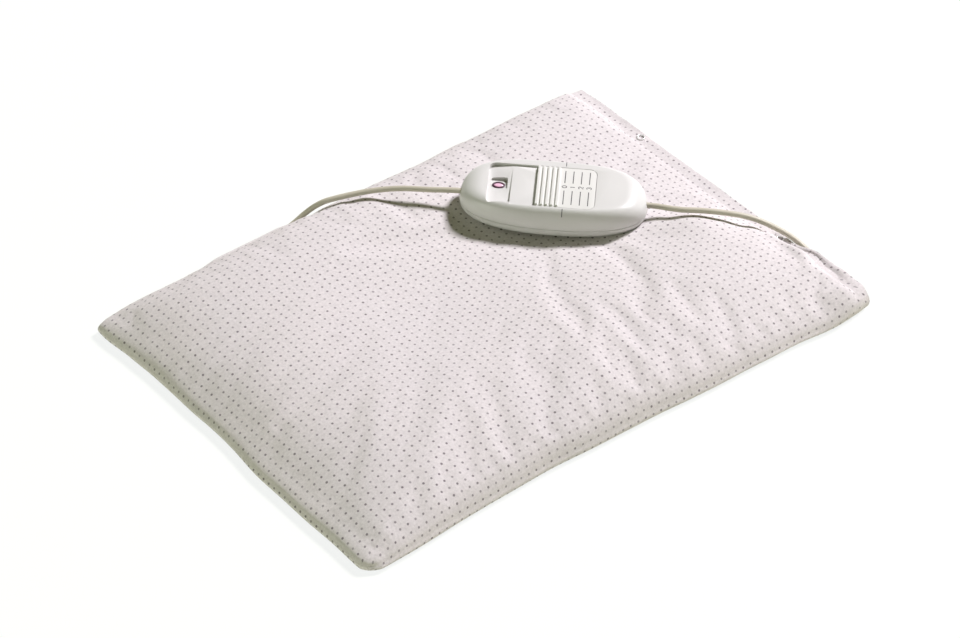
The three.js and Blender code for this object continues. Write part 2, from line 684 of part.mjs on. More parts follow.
add('slider', geometryOf(slider), colours.shell, controller);

// Carriage under the track, notched for the detent, and the contact bridge below it.
const carriageLeft = legLeft - 6;
const carriageRight = legRight + 8;
const carriageBottom = legBottom - 1;
const carriageHalf = 9;
const notchAt = carriageLeft + 1.5;
let carriage = solid(box(
  carriageLeft, carriageRight, -carriageHalf, carriageHalf, carriageBottom, carriageTop,
));
carriage = carriage.subtract(solid(box(
  legLeft - seat, legRight + seat, -halfLeg - seat, halfLeg + seat, legBottom - seat, above,
)));
for (let k = 0; k <= stepCount; k += 1) {
  carriage = carriage.subtract(solid(post(1.2, notchAt + k * stepLength, carriageHalf + 0.4, 0, above, 10)));
}
add('switch_carriage', geometryOf(carriage), colours.dark, controller);

const leaf = new THREE.Shape();
leaf.moveTo(leafEnds[0], leafY);
leaf.lineTo(notchAt - 1.6, leafY);
leaf.lineTo(notchAt, carriageHalf + seat);
leaf.lineTo(notchAt + 1.6, leafY);
leaf.lineTo(leafEnds[1], leafY);
leaf.lineTo(leafEnds[1], leafY + leafThick);
leaf.lineTo(notchAt + 1.3, leafY + leafThick);
leaf.lineTo(notchAt, carriageHalf + seat + leafThick);
leaf.lineTo(notchAt - 1.3, leafY + leafThick);
leaf.lineTo(leafEnds[0], leafY + leafThick);
add('detent_spring', extrude(leaf, 3).translate(0, 0, leafLow), colours.metal, controller);

const padHigh = 0.3;
const padTop = boardTop + seat + padHigh;
const bridgeTop = carriageBottom - seat;
const bridgeHalf = 6;
const bridge = new THREE.Shape();
bridge.moveTo(-bridgeHalf, padTop + seat);
bridge.lineTo(-bridgeHalf + 1.6, padTop + seat);
bridge.lineTo(-bridgeHalf + 1.6, bridgeTop - 0.4);
bridge.lineTo(bridgeHalf - 1.6, bridgeTop - 0.4);
bridge.lineTo(bridgeHalf - 1.6, padTop + seat);
bridge.lineTo(bridgeHalf, padTop + seat);
bridge.lineTo(bridgeHalf, bridgeTop);
bridge.lineTo(-bridgeHalf, bridgeTop);
const bridgeAt = carriageLeft + 4;
const bridgeLong = 2.6;
add('contact_bridge', extrude(bridge, bridgeLong)
  .rotateX(Math.PI / 2).rotateZ(Math.PI / 2).translate(bridgeAt, 0, 0), colours.brass, controller);

for (let k = 0; k <= stepCount; k += 1) {
  const x = bridgeAt - k * stepLength;
  add(`fixed_contact_${k}`, box(
    x - 0.4, x + bridgeLong + 0.4, -bridgeHalf - 1, -bridgeHalf + 2.4, boardTop + seat, padTop,
  ), colours.brass, controller);
}
add('contact_rail', box(
  bridgeAt - travel - 1, bridgeAt + bridgeLong + 1, bridgeHalf - 2.4, bridgeHalf + 1, boardTop + seat, padTop,
), colours.brass, controller);

// Circuit board and what is soldered to it.
const boardEnds = [windowLeft + 1, 30];
const boardHalf = 12.5;
add('circuit_board', box(boardEnds[0], boardEnds[1], -boardHalf, boardHalf, boardTop - boardThick, boardTop),
  colours.board, controller);
function capsule(radius, length, sides = 12) {
  return new THREE.LatheGeometry([
    [0, -length / 2], [radius * 0.7, -length / 2 + radius * 0.3], [radius, -length / 2 + radius],
    [radius, length / 2 - radius], [radius * 0.7, length / 2 - radius * 0.3], [0, length / 2],
  ].map(([r, y]) => new THREE.Vector2(r, y)), sides);
}
const lampRadius = 2.1;
const lamp = solid(capsule(lampRadius, 11), lensAt[0], 0, boardTop + seat + lampRadius);
add('indicator_lamp', geometryOf(lamp), colours.glass, controller);
const rows = [['resistor', 1.3, 8, -19, -11], ['diode', 1.3, 6, -18, 11], ['thermal_fuse', 1.8, 9, -25.5, 0]];
for (const [name, radius, length, x, y] of rows) {
  const body = solid(capsule(radius, length, 10).rotateZ(Math.PI / 2), x, y, boardTop + seat + radius);
  add(name, geometryOf(body), colours.dark, controller);
}

// Lamp lens and its rim in the window pocket.
const lensTop = pocketFloor + 0.9;
add('lamp_lens', extrude(oval(...lensSize), lensTop - (pocketFloor - tubWall), 10)
  .translate(lensAt[0], lensAt[1], pocketFloor - tubWall), colours.lens, controller);
const rimShape = oval(lensSize[0] + 2 * (seat + lensRim), lensSize[1] + 2 * (seat + lensRim));
const rimHole = new THREE.Path();
rimHole.absellipse(0, 0, lensSize[0] / 2 + seat, lensSize[1] / 2 + seat, 0, Math.PI * 2);
rimShape.holes.push(rimHole);
add('lens_rim', extrude(rimShape, 0.6, 10).translate(...lensAt, pocketFloor + seat), colours.rim, controller);

// Cord clamps with their screws, one at each end.
[[-1, 'mains'], [1, 'pad']].forEach(([side, end]) => {
  const x = side * clampAt;
  const [long, wide, high] = clampSize;
  let bar = solid(box(x - long / 2, x + long / 2, -wide / 2, wide / 2, clampUnder, clampUnder + high));
  [-clampScrewY, clampScrewY].forEach((y, i) => {
    bar = bar.subtract(solid(post(0.9 + seat, x, y, 0, above, 10)));
    const top = clampUnder + high + seat;
    const screw = new THREE.LatheGeometry([
      [0, clampUnder - 6], [0.9, clampUnder - 5.4], [0.9, top], [1.9, top], [1.9, top + 1], [0, top + 1.2],
    ].map(([r, z]) => new THREE.Vector2(r, z)), 10);
    const body = solid(screw.rotateX(Math.PI / 2).translate(x, y, 0));
    add(`${end}_clamp_screw_${i + 1}`, geometryOf(body), colours.metal, controller);
  });
  add(`${end}_cord_clamp`, geometryOf(bar), colours.dark, controller);
  [-1, 1].forEach((pole, i) => {
    const landing = v(
      side < 0 ? boardEnds[0] + 3 : boardEnds[1] - 3, (side < 0 ? 9.6 : 6) * pole, boardTop + seat + 0.8,
    );
    const start = v(side * (cordEnd - seat), pole, portHeight);
    const path = [
      start, v(start.x - side * 1.6, pole * 1.2, portHeight + 0.2),
      v(mix(start.x, landing.x, 0.6), mix(start.y, landing.y, 0.5), portHeight + 0.8), landing,
    ];
    add(`${end}_conductor_${i + 1}`, tube(path, 1.2, 8, 6), colours.wire, controller);
  });
});

// Mains lead: from the controller over the rear edge, then tucked below it.
const local = (x, y, z) => v(x, y, z).applyMatrix4(controller.matrix);
const straight = cordDia;
const mainsPath = [
  local(-cordEnd, 0, portHeight), local(-cordEnd - straight, 0, portHeight),
  local(-boxLength / 2 + 2, 0, portHeight), local(-boxLength / 2 - 4, 0, portHeight),
  v(29, 96.3, 33.3), v(15.4, 111.2, 31.8), v(3, 121.8, 29.8), v(-8.5, 129.2, 27.9),
  v(-18.6, 134.6, 26.3), v(-26.4, 139.2, 24), v(-32, 143.4, 19.6), v(-37.6, 146.8, 14.2), v(-45, 148.8, 8.8),
  v(-58, 149.3, 4.5), v(-76, 149.2, 2.6), v(-94, 148.9, 2.1), v(-112, 148.4, 2),
  v(-133.8, 139.4, 2), v(-142.8, 117.7, 2), v(-133.8, 95.9, 2), v(-112, 86.9, 2), v(-90, 86.9, 2.2),
  v(-60, 86.9, 2.7),
];

// Hank: a racetrack spiral that winds in on the table, climbs a layer and winds out.
const hankLow = strapThick + seat + 0.1 + cordRadius;
const hankOuter = hankFold + hankPitch * hankClimb;
const hankSteps = Math.round(24 * hankTurns);
function hankPoint(turn) {
  const inward = turn < hankClimb;
  const radius = inward ? hankOuter - hankPitch * turn : hankFold + hankPitch * (turn - hankClimb);
  const level = hankLow + hankLayer * ease(hankClimb - 0.125, hankClimb + 0.125, turn);
  const quarter = Math.floor(turn * 4 + 1e-9);
  const share = turn * 4 - quarter;
  const side = quarter % 4 < 2 ? 1 : -1;
  if (quarter % 2 === 0) {
    const waist = 1 - hankWaist * Math.sin(Math.PI * share) ** 2;
    return v(hankAt[0] + side * hankRun * (share - 0.5), hankAt[1] - side * radius * waist, level);
  }
  const angle = Math.PI * (share - 0.5);
  const x = hankRun / 2 + radius * Math.cos(angle);
  return v(hankAt[0] + side * x, hankAt[1] + side * radius * Math.sin(angle), level);
}
const hankPath = [];
for (let i = 0; i <= hankSteps; i += 1) hankPath.push(hankPoint((i / hankSteps) * hankTurns));
const hankStart = hankPath[0].clone().add(v(-straight, 0, 0));
const hankEnd = hankPath[hankSteps].clone().add(v(-straight, 0, 0));
hankPath.unshift(hankStart);
hankPath.push(hankEnd);
mainsPath.push(hankStart.clone().add(v(-seat - straight, 0, 0)), hankStart.clone().add(v(-seat, 0, 0)));
add('mains_lead', tube(mainsPath, cordDia, 64), colours.cord);
add('mains_lead_hank', tube(hankPath, cordDia, hankSteps, 6), colours.cord);

function leastGap(points) {
  let least = Infinity;
  for (let i = 0; i < points.length; i += 1) {
    let apart = 0;
    for (let j = i + 1; j < points.length; j += 1) {
      apart += points[j].distanceTo(points[j - 1]);
      if (apart > 4 * cordDia) least = Math.min(least, points[i].distanceTo(points[j]));
    }
  }
  return least - cordDia;
}
const fine = new THREE.CatmullRomCurve3(hankPath, false, 'centripetal').getSpacedPoints(1200);
console.log(`hank: least gap to itself ${leastGap(fine).toFixed(2)} mm`);

// Strap round the hank's waist.
const strapHalf = (hankFold + hankPitch * (hankTurns - hankClimb)) * (1 - hankWaist) + cordRadius + seat;
const strapLow = hankLow - cordRadius - seat;
const strapHigh = hankLow + hankLayer + cordRadius + seat;
function band(grow) {
  const shape = new THREE.Shape();
  const corner = 2 + grow;
  const [y0, y1, z0, z1] = [-strapHalf - grow, strapHalf + grow, strapLow - grow, strapHigh + grow];
  shape.moveTo(y0 + corner, z0);
  shape.absarc(y1 - corner, z0 + corner, corner, -Math.PI / 2, 0);
  shape.absarc(y1 - corner, z1 - corner, corner, 0, Math.PI / 2);
  shape.absarc(y0 + corner, z1 - corner, corner, Math.PI / 2, Math.PI);
  shape.absarc(y0 + corner, z0 + corner, corner, Math.PI, Math.PI * 1.5);
  return shape;
}
const strap = band(strapThick);
strap.holes.push(band(0));
add('hank_strap', extrude(strap, strapWide, 3).rotateX(Math.PI / 2).rotateZ(Math.PI / 2)
  .translate(hankAt[0] - strapWide / 2, hankAt[1], 0), colours.dark);

// Tail of the lead and the two-pin plug, pins toward -X.
const plugAt = v(-66, 108, plugThick / 2 + 0.1);
const tailPath = [
  hankEnd.clone().add(v(-seat, 0, 0)), hankEnd.clone().add(v(-seat - straight, 0, 0)),
  v(mix(hankEnd.x, plugAt.x, 0.5), mix(hankEnd.y, plugAt.y, 0.5), mix(hankEnd.z, plugAt.z, 0.5)),
  plugAt.clone().add(v(seat + straight, 0, 0)), plugAt.clone().add(v(seat, 0, 0)),
];
add('mains_lead_tail', tube(tailPath, cordDia, 14), colours.cord);

const plugStations = [
  [0, 7, 7], [4, 8.4, 8.4], [12, plugNeck - 3, 10.6], [20, mix(plugNeck, plugWidth, 0.5), 12.8],
  [27, plugWidth - 2, plugThick], [plugLength - 2, plugWidth, plugThick],
  [plugLength, plugWidth - 1, plugThick - 1],
];
const plugRings = plugStations.map(([x, wide, high]) => {
  const points = [];
  for (let i = 0; i < 20; i += 1) {
    const t = (i / 20) * Math.PI * 2;
    const c = Math.cos(t);
    const s = Math.sin(t);
    const power = mix(1, 0.5, Math.min(x / 20, 1));
    const y = (wide / 2) * Math.sign(c) * Math.abs(c) ** power;
    const z = (high / 2) * Math.sign(s) * Math.abs(s) ** power;
    points.push(v(x, y, z));
  }
  return points;
});
const plug = new THREE.Group();
plug.position.copy(plugAt);
plug.rotation.z = Math.PI;
part.add(plug);
add('plug_body', skin(plugRings), colours.cord, plug);
[-1, 1].forEach((side, i) => {
  const pin = new THREE.LatheGeometry([
    [0, 0], [pinDia / 2, 0], [pinDia / 2, pinLength - 1.6], [pinDia / 2 - 0.6, pinLength - 0.5],
    [0, pinLength],
  ].map(([r, x]) => new THREE.Vector2(r, x)), 12);
  const shape = pin.rotateZ(-Math.PI / 2).translate(plugLength + seat, (side * pinPitch) / 2, 0);
  add(`plug_pin_${i + 1}`, geometryOf(solid(shape)), colours.metal, plug);
});

// Pad lead: from the controller, over the mouth's hem and back in between the hems.
const grommetAt = v(halfX - mouthBand - 0.7, -97.3, 5);
const padPath = [
  local(cordEnd, 0, portHeight), local(cordEnd + straight, 0, portHeight),
  local(boxLength / 2 - 2, 0, portHeight), local(boxLength / 2 + 4, 0, portHeight),
  v(147, -18.4, 29.2), v(157, -26.6, 28.6), v(168, -35.8, 27.2), v(177.6, -44, 25.2),
  v(185.2, -51, 22.4), v(191.2, -57.4, 18.9), v(196.4, -63.4, 15.1), v(200.6, -69.4, 11.5),
  v(203.2, -75.6, 8.2), v(204.3, -81.9, 5.8), v(204.2, -88, 4.9), v(202.5, -93, 4.9), v(198.6, -96.4, 5),
  grommetAt.clone().add(v(seat + straight, 0, 0)), grommetAt.clone().add(v(seat, 0, 0)),
];
add('pad_lead', tube(padPath, cordDia, 34), colours.cord);
const grommetLong = grommetAt.x - fillRight - seat;
const grommet = new THREE.LatheGeometry([
  [0, 0], [2.8, 0], [2.8, 2], [2.4, 2.6], [2.4, 4], [3, grommetLong - 2.5], [3, grommetLong],
  [0, grommetLong],
].map(([r, x]) => new THREE.Vector2(r, x)), 12);
const grommetBody = solid(grommet.rotateZ(Math.PI / 2), ...grommetAt.toArray());
add('pad_lead_grommet', geometryOf(grommetBody), colours.cord);

part.updateMatrixWorld(true);

export default part;
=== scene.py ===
"""Looks of the heating pad with its in-line controller. Lengths in the tables are millimetres."""

import math

import bpy
import numpy as np
from mathutils import Matrix, Vector, noise


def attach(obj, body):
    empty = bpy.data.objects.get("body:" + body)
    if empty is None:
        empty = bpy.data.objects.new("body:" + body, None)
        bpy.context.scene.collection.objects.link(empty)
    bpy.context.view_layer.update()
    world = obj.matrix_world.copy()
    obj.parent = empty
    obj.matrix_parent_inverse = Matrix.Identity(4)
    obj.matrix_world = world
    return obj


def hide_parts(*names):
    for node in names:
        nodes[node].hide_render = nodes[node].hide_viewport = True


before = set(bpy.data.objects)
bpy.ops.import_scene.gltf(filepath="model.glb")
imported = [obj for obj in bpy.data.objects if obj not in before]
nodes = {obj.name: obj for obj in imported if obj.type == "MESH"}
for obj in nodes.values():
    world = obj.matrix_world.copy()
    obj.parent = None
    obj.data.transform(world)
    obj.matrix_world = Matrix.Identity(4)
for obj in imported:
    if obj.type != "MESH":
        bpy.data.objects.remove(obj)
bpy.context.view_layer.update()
PAD = "pad_and_controller"
SLIDER = "slider"
scene = bpy.context.scene
MM = 0.001


def new_object(name, data):
    obj = bpy.data.objects.new(name, data)
    scene.collection.objects.link(obj)
    return obj


def stand(obj, at, look):
    """Puts a camera or a light at a place, looking along a direction."""
    obj.location = at
    obj.rotation_mode = "QUATERNION"
    obj.rotation_quaternion = Vector(look).to_track_quat("-Z", "Y")


# Camera, as solved from the photograph
FOCAL_LENGTH = 140.966
CAMERA_AT = (-1162.487, -1448.353, 1560.753)
CAMERA_LOOK = (0.4777929, 0.59825279, -0.64327874)
camera_data = bpy.data.cameras.new("camera")
camera_data.lens = FOCAL_LENGTH
camera_data.sensor_width = 36.0
camera_data.clip_start = 0.1
camera_data.clip_end = 50
scene.camera = new_object("camera", camera_data)
stand(scene.camera, Vector(CAMERA_AT) * MM, CAMERA_LOOK)


# Small tools
def mix(a, b, t):
    return a + (b - a) * t


def ease(a, b, value):
    """Smooth step from 0 at a to 1 at b."""
    t = np.clip((np.asarray(value, float) - a) / (b - a), 0, 1)
    return t * t * (3 - 2 * t)


def quarter_round(s):
    """Fall of a quarter circle of radius 1, at a share s of the way out from its top."""
    return 1 - np.sqrt(np.maximum(1 - s * s, 0))


def around(count):
    """Angles of a full turn in even steps."""
    return np.linspace(0, 2 * math.pi, count, endpoint=False)


def ellipse(cx, cy, a, b, count=48):
    return [(cx + a * math.cos(t), cy + b * math.sin(t)) for t in around(count)]


def arc(cx, cy, rx, ry, start, end, count):
    """Plan points of an elliptic arc, with angles in degrees."""
    turns = np.radians(np.linspace(start, end, count))
    return [(cx + rx * math.cos(t), cy + ry * math.sin(t)) for t in turns]


def corner_arc(x, y, radius, start):
    """Quarter round about (x, y), from an angle in degrees."""
    return arc(x, y, radius, radius, start, start + 90, 9)


def rotation(axis, degrees):
    return np.array(Matrix.Rotation(math.radians(degrees), 3, axis))


# Place of the controller's own frame on the pad
BOX_AT = np.array([88.6, 41.0, 20.4])
BOX_TURN = rotation("Z", -43.3) @ rotation("Y", 2.0) @ rotation("X", 2.5)


def local(x, y, z):
    """Place on the pad of a point of the controller's own frame."""
    return BOX_AT + BOX_TURN @ np.array([x, y, z], float)


def place(obj):
    """Moves a mesh made in the controller's own frame to its place on the pad."""
    turn = Matrix(BOX_TURN.tolist()).to_4x4()
    turn.translation = Vector(BOX_AT) * MM
    obj.data.transform(turn)
    obj.data.update()


def soften(obj, sharp=None):
    """Smooth shading, with edges past an angle in degrees left sharp."""
    mesh = obj.data
    mesh.polygons.foreach_set("use_smooth", [True] * len(mesh.polygons))
    if sharp:
        mesh.set_sharp_from_angle(angle=math.radians(sharp))
    mesh.update()


def new_mesh(name, verts, faces, sharp=None):
    """Object of a mesh given in millimetres, smooth if an angle for sharp edges is given."""
    mesh = bpy.data.meshes.new(name)
    mesh.from_pydata([tuple(float(c) * MM for c in p) for p in verts], [], faces)
    mesh.validate()
    obj = new_object(name, mesh)
    if sharp:
        soften(obj, sharp)
    return obj


def settle(obj):
    """Applies all modifiers."""
    bpy.context.view_layer.update()
    made = bpy.data.meshes.new_from_object(obj.evaluated_get(bpy.context.evaluated_depsgraph_get()))
    old = obj.data
    obj.modifiers.clear()
    obj.data = made
    bpy.data.meshes.remove(old)


def boolean(obj, other, operation):
    """Cuts another object from this one or joins it on, and removes the other."""
    cut = obj.modifiers.new("cut", "BOOLEAN")
    cut.operation = operation
    cut.solver = "EXACT"
    cut.object = other
    settle(obj)
    bpy.data.objects.remove(other)


def carve(obj, skin, operation="DIFFERENCE"):
    """Cuts a closed skin from an object, or joins it on."""
    boolean(obj, new_mesh("tool", *skin), operation)


def belongs(obj, made, body, slot, *stands_for):
    """Gives a piece its material and body, and hides the CAD nodes it stands for; the slot is not used."""
    obj.data.materials.append(made)
    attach(obj, body)
    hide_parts(*stands_for)


def loft(rings):
    """Closed skin over rings with as many points each."""
    count = len(rings[0])
    verts = [p for ring in rings for p in ring]
    faces = []
    for k in range(len(rings) - 1):
        for i in range(count):
            a, b = k * count + i, k * count + (i + 1) % count
            faces.append((a, b, b + count, a + count))
    faces.append(tuple(reversed(range(count))))
    last = (len(rings) - 1) * count
    faces.append(tuple(range(last, last + count)))
    return verts, faces


def slab(points, z0, z1):
    """Closed prism over a plan outline."""
    return loft([[(x, y, z) for x, y in points] for z in (z0, z1)])


def hoop(profile, centre, half, sides):
    """Closed ring of a profile of (outward, up) round an ellipse of the given half axes."""
    many = len(profile)
    verts, faces = [], []
    for t in around(sides):
        for out, up in profile:
            x = centre[0] + (half[0] + out) * math.cos(t)
            y = centre[1] + (half[1] + out) * math.sin(t)
            verts.append((x, y, centre[2] + up))
    for i in range(sides):
        this, after = i * many, (i + 1) % sides * many
        for k in range(many):
            beside = (k + 1) % many
            faces.append((this + k, after + k, after + beside, this + beside))
    return verts, faces


def spline(points, step=1.6):
    """Evenly spaced points along a centripetal curve through the points."""
    p = [np.array(q, float) for q in points]
    p = [2 * p[0] - p[1]] + p + [2 * p[-1] - p[-2]]
    gaps = [max(np.linalg.norm(b - a), 1e-6) ** 0.5 for a, b in zip(p, p[1:])]
    knots = np.concatenate([[0], np.cumsum(gaps)])
    fine = []
    for i in range(1, len(p) - 2):
        a, b, c, d = p[i - 1 : i + 3]
        t0, t1, t2, t3 = knots[i - 1 : i + 3]
        for t in np.linspace(t1, t2, 24, endpoint=False):
            ab = mix(a, b, (t - t0) / (t1 - t0))
            bc = mix(b, c, (t - t1) / (t2 - t1))
            cd = mix(c, d, (t - t2) / (t3 - t2))
            abc = mix(ab, bc, (t - t0) / (t2 - t0))
            bcd = mix(bc, cd, (t - t1) / (t3 - t1))
            fine.append(mix(abc, bcd, (t - t1) / (t2 - t1)))
    fine.append(p[-2])
    fine = np.array(fine)
    along = np.concatenate([[0], np.cumsum(np.linalg.norm(np.diff(fine, axis=0), axis=1))])
    want = np.linspace(0, along[-1], max(int(along[-1] / step), 2) + 1)
    return np.stack([np.interp(want, along, fine[:, k]) for k in range(3)], 1)


# Materials
def material(name):
    made = bpy.data.materials.new(name)
    made.use_nodes = True
    tree = made.node_tree
    return made, tree, tree.nodes["Principled BSDF"]


def add(tree, kind):
    return tree.nodes.new("ShaderNode" + kind)


def values(made, **inputs):
    """Sets inputs of a node, with an underscore for each space in their names."""
    for name, value in inputs.items():
        made.inputs[name.replace("_", " ")].default_value = value


def math_node(tree, operation, a, b=None, c=None):
    made = add(tree, "Math")
    made.operation = operation
    for i, value in enumerate((a, b, c)):
        if value is None:
            continue
        if isinstance(value, (int, float)):
            made.inputs[i].default_value = value
        else:
            tree.links.new(value, made.inputs[i])
    return made.outputs[0]


def remap(tree, value, a, b, c, d, smooth=False):
    """Turns the range from a to b into the range from c to d."""
    made = add(tree, "MapRange")
    made.interpolation_type = "SMOOTHSTEP" if smooth else "LINEAR"
    tree.links.new(value, made.inputs[0])
    for i, x in enumerate((a, b, c, d)):
        made.inputs[i + 1].default_value = x
    return made.outputs[0]


def noise_node(tree, scale, detail, rough=0.55):
    coordinates = add(tree, "TexCoord")
    made = add(tree, "TexNoise")
    values(made, Scale=scale, Detail=detail, Roughness=rough)
    tree.links.new(coordinates.outputs["Object"], made.inputs["Vector"])
    return made.outputs["Fac"]


def blend_colour(tree, factor, a, b):
    made = add(tree, "Mix")
    made.data_type = "RGBA"
    tree.links.new(factor, made.inputs[0])
    for i, value in ((6, a), (7, b)):
        if isinstance(value, tuple):
            made.inputs[i].default_value = (*value, 1)
        else:
            tree.links.new(value, made.inputs[i])
    return made.outputs[2]


def paint(tree, shader, factor, a, b):
    """Base colour between a and b."""
    tree.links.new(blend_colour(tree, factor, a, b), shader.inputs["Base Color"])


def bump(tree, shader, height, strength, distance):
    made = add(tree, "Bump")
    values(made, Strength=strength, Distance=distance)
    tree.links.new(height, made.inputs["Height"])
    tree.links.new(made.outputs["Normal"], shader.inputs["Normal"])


def shade(colour, factor):
    return tuple(c * factor for c in colour)


def plastic(name, colour, rough, grain=2200.0, depth=0.00002, tint=0.03):
    """Moulded plastic with a fine grain and a little unevenness of tone."""
    made, tree, shader = material(name)
    broad = remap(tree, noise_node(tree, 40.0, 2.0), 0.3, 0.7, 0.0, 1.0)
    paint(tree, shader, broad, shade(colour, 1 - tint), colour)
    fine = noise_node(tree, grain, 2.0)
    uneven = remap(tree, fine, 0.2, 0.8, rough - 0.05, rough + 0.06)
    tree.links.new(uneven, shader.inputs["Roughness"])
    values(shader, Specular_IOR_Level=0.4)
    bump(tree, shader, fine, 0.25, depth)
    return made


def metal(name, colour, rough):
    """Bare metal with fine scratches."""
    made, tree, shader = material(name)
    values(shader, Metallic=1.0)
    broad = remap(tree, noise_node(tree, 120.0, 3.0), 0.3, 0.7, 0.0, 1.0)
    paint(tree, shader, broad, shade(colour, 0.86), colour)
    fine = noise_node(tree, 900.0, 4.0, 0.7)
    uneven = remap(tree, fine, 0.25, 0.75, rough * 0.75, rough * 1.3)
    tree.links.new(uneven, shader.inputs["Roughness"])
    bump(tree, shader, fine, 0.15, 0.00003)
    return made


def fleece(name, colour):
    """Soft tufted cloth."""
    made, tree, shader = material(name)
    tuft = noise_node(tree, 600.0, 4.0, 0.7)
    paint(tree, shader, tuft, shade(colour, 0.85), colour)
    values(shader, Roughness=0.95, Sheen_Weight=0.3)
    bump(tree, shader, tuft, 0.6, 0.0008)
    return made


def tinted_plastic(name, deep, pale):
    """Glossy coloured plastic of the lens."""
    made, tree, shader = material(name)
    broad = remap(tree, noise_node(tree, 160.0, 1.0), 0.3, 0.7, 0.0, 1.0)
    paint(tree, shader, broad, deep, pale)
    values(shader, Roughness=0.22, Coat_Weight=0.4)
    return made


def glass(name, colour):
    """Glass of the lamp inside."""
    made, tree, shader = material(name)
    values(shader, Base_Color=(*colour, 1), Transmission_Weight=0.8)
    uneven = remap(tree, noise_node(tree, 300.0, 2.0), 0.2, 0.8, 0.05, 0.12)
    tree.links.new(uneven, shader.inputs["Roughness"])
    return made


DOT_PITCH = (6.1, 5.4)
DOT_RADIUS = 0.8
# Half a cell puts a dot on the cloth's middle, and whole cells keep the cell numbers positive.
DOT_START = 200.5
THREAD_PITCH = 0.62


def cotton(name, colour, dot):
    """Printed cotton: a lattice of small dots on cloth coordinates, fine weave and soft unevenness."""
    made, tree, shader = material(name)
    uv = add(tree, "UVMap")
    uv.uv_map = "cloth"
    parts = add(tree, "SeparateXYZ")
    tree.links.new(uv.outputs[0], parts.inputs[0])

    # Dots of uneven edge and strength
    cell = add(tree, "CombineXYZ")
    squares = []
    for axis, pitch in enumerate(DOT_PITCH):
        along = math_node(tree, "MULTIPLY_ADD", parts.outputs[axis], 1 / MM / pitch, DOT_START)
        tree.links.new(math_node(tree, "FLOOR", along), cell.inputs[axis])
        inside = math_node(tree, "SUBTRACT", math_node(tree, "FRACT", along), 0.5)
        off = math_node(tree, "MULTIPLY", inside, pitch)
        squares.append(math_node(tree, "MULTIPLY", off, off))
    away = math_node(tree, "SQRT", math_node(tree, "ADD", *squares))
    wobble = math_node(tree, "MULTIPLY_ADD", noise_node(tree, 150.0, 1.0), 0.3, -0.15)
    size = math_node(tree, "ADD", away, wobble)
    mark = remap(tree, size, DOT_RADIUS - 0.28, DOT_RADIUS + 0.22, 1.0, 0.0, True)
    chance = add(tree, "TexWhiteNoise")
    chance.noise_dimensions = "3D"
    tree.links.new(cell.outputs[0], chance.inputs["Vector"])
    strength = remap(tree, chance.outputs["Value"], 0.0, 1.0, 0.6, 0.98)
    mark = math_node(tree, "MULTIPLY", mark, strength)

    # Ground with broad tone and small specks
    cooler = tuple(c * f for c, f in zip(colour, (0.972, 0.978, 0.985)))
    broad = remap(tree, noise_node(tree, 16.0, 3.0), 0.35, 0.65, 0.0, 1.0)
    ground = blend_colour(tree, broad, cooler, colour)
    speck = remap(tree, noise_node(tree, 620.0, 3.0, 0.7), 0.32, 0.68, 0.0, 0.85)
    ground = blend_colour(tree, speck, ground, shade(colour, 0.78))
    paint(tree, shader, mark, ground, dot)
    values(shader, Roughness=0.92, Specular_IOR_Level=0.2, Sheen_Weight=0.12, Sheen_Roughness=0.5)

    # Weave, fuzz and soft dents
    threads = []
    for axis in (0, 1):
        turn = math_node(tree, "MULTIPLY", parts.outputs[axis], 2 * math.pi / MM / THREAD_PITCH)
        threads.append(math_node(tree, "SINE", turn))
    weave = math_node(tree, "MULTIPLY", *threads)
    rough = math_node(tree, "MULTIPLY_ADD", noise_node(tree, 420.0, 4.0, 0.7), 2.6, weave)
    soft = math_node(tree, "MULTIPLY_ADD", noise_node(tree, 60.0, 3.0, 0.6), 6.0, rough)
    bump(tree, shader, soft, 0.55, 0.00016)
    return made


COTTON = cotton("printed_cotton", (0.885, 0.842, 0.842), (0.21, 0.18, 0.2))
FLEECE = fleece("fleece", (0.74, 0.72, 0.66))
SHELL = plastic("controller_plastic", (0.708, 0.71, 0.688), 0.36)
SLIDE = plastic("slider_plastic", (0.75, 0.755, 0.72), 0.36)
LEAD = plastic("lead_plastic", (0.56, 0.53, 0.43), 0.42, grain=900.0, depth=0.00004, tint=0.06)
DARK = plastic("dark_plastic", (0.035, 0.035, 0.037), 0.45)
PRINT = plastic("print_ink", (0.06, 0.06, 0.065), 0.55)
BOARD = plastic("board_laminate", (0.38, 0.26, 0.09), 0.55)
WIRE = plastic("wire_insulation", (0.78, 0.74, 0.64), 0.5)
STEEL = metal("plated_steel", (0.72, 0.71, 0.69), 0.28)
SPRING = metal("spring_steel", (0.6, 0.6, 0.6), 0.3)
BRASS = metal("brass", (0.72, 0.5, 0.2), 0.3)
RIM = plastic("rim_plastic", (0.055, 0.008, 0.03), 0.3)
LENS = tinted_plastic("lens_plastic", (0.86, 0.44, 0.62), (0.93, 0.6, 0.74))
GLASS = glass("lamp_glass", (0.8, 0.5, 0.42))

# Leads: half sizes of the controller, its cord ports, and the hank of spare lead in its strap
BOX_HALF, BOX_WIDE = 62.0, 28.5
CORD = 3.8
CORD_END = 47.0
PORT = 11.0
SEAT = 0.3
STRAP, TABLE_GAP = 0.8, 0.1
HANK = dict(
    run=72.0, turns=4.75, pitch=5.4, fold=11.6, climb=2.125, waist=0.19, layer=4.3, at=(20.0, 110.0),
)
HANK_LOW = STRAP + SEAT + TABLE_GAP + CORD / 2
STEPS_IN_TURN = 24


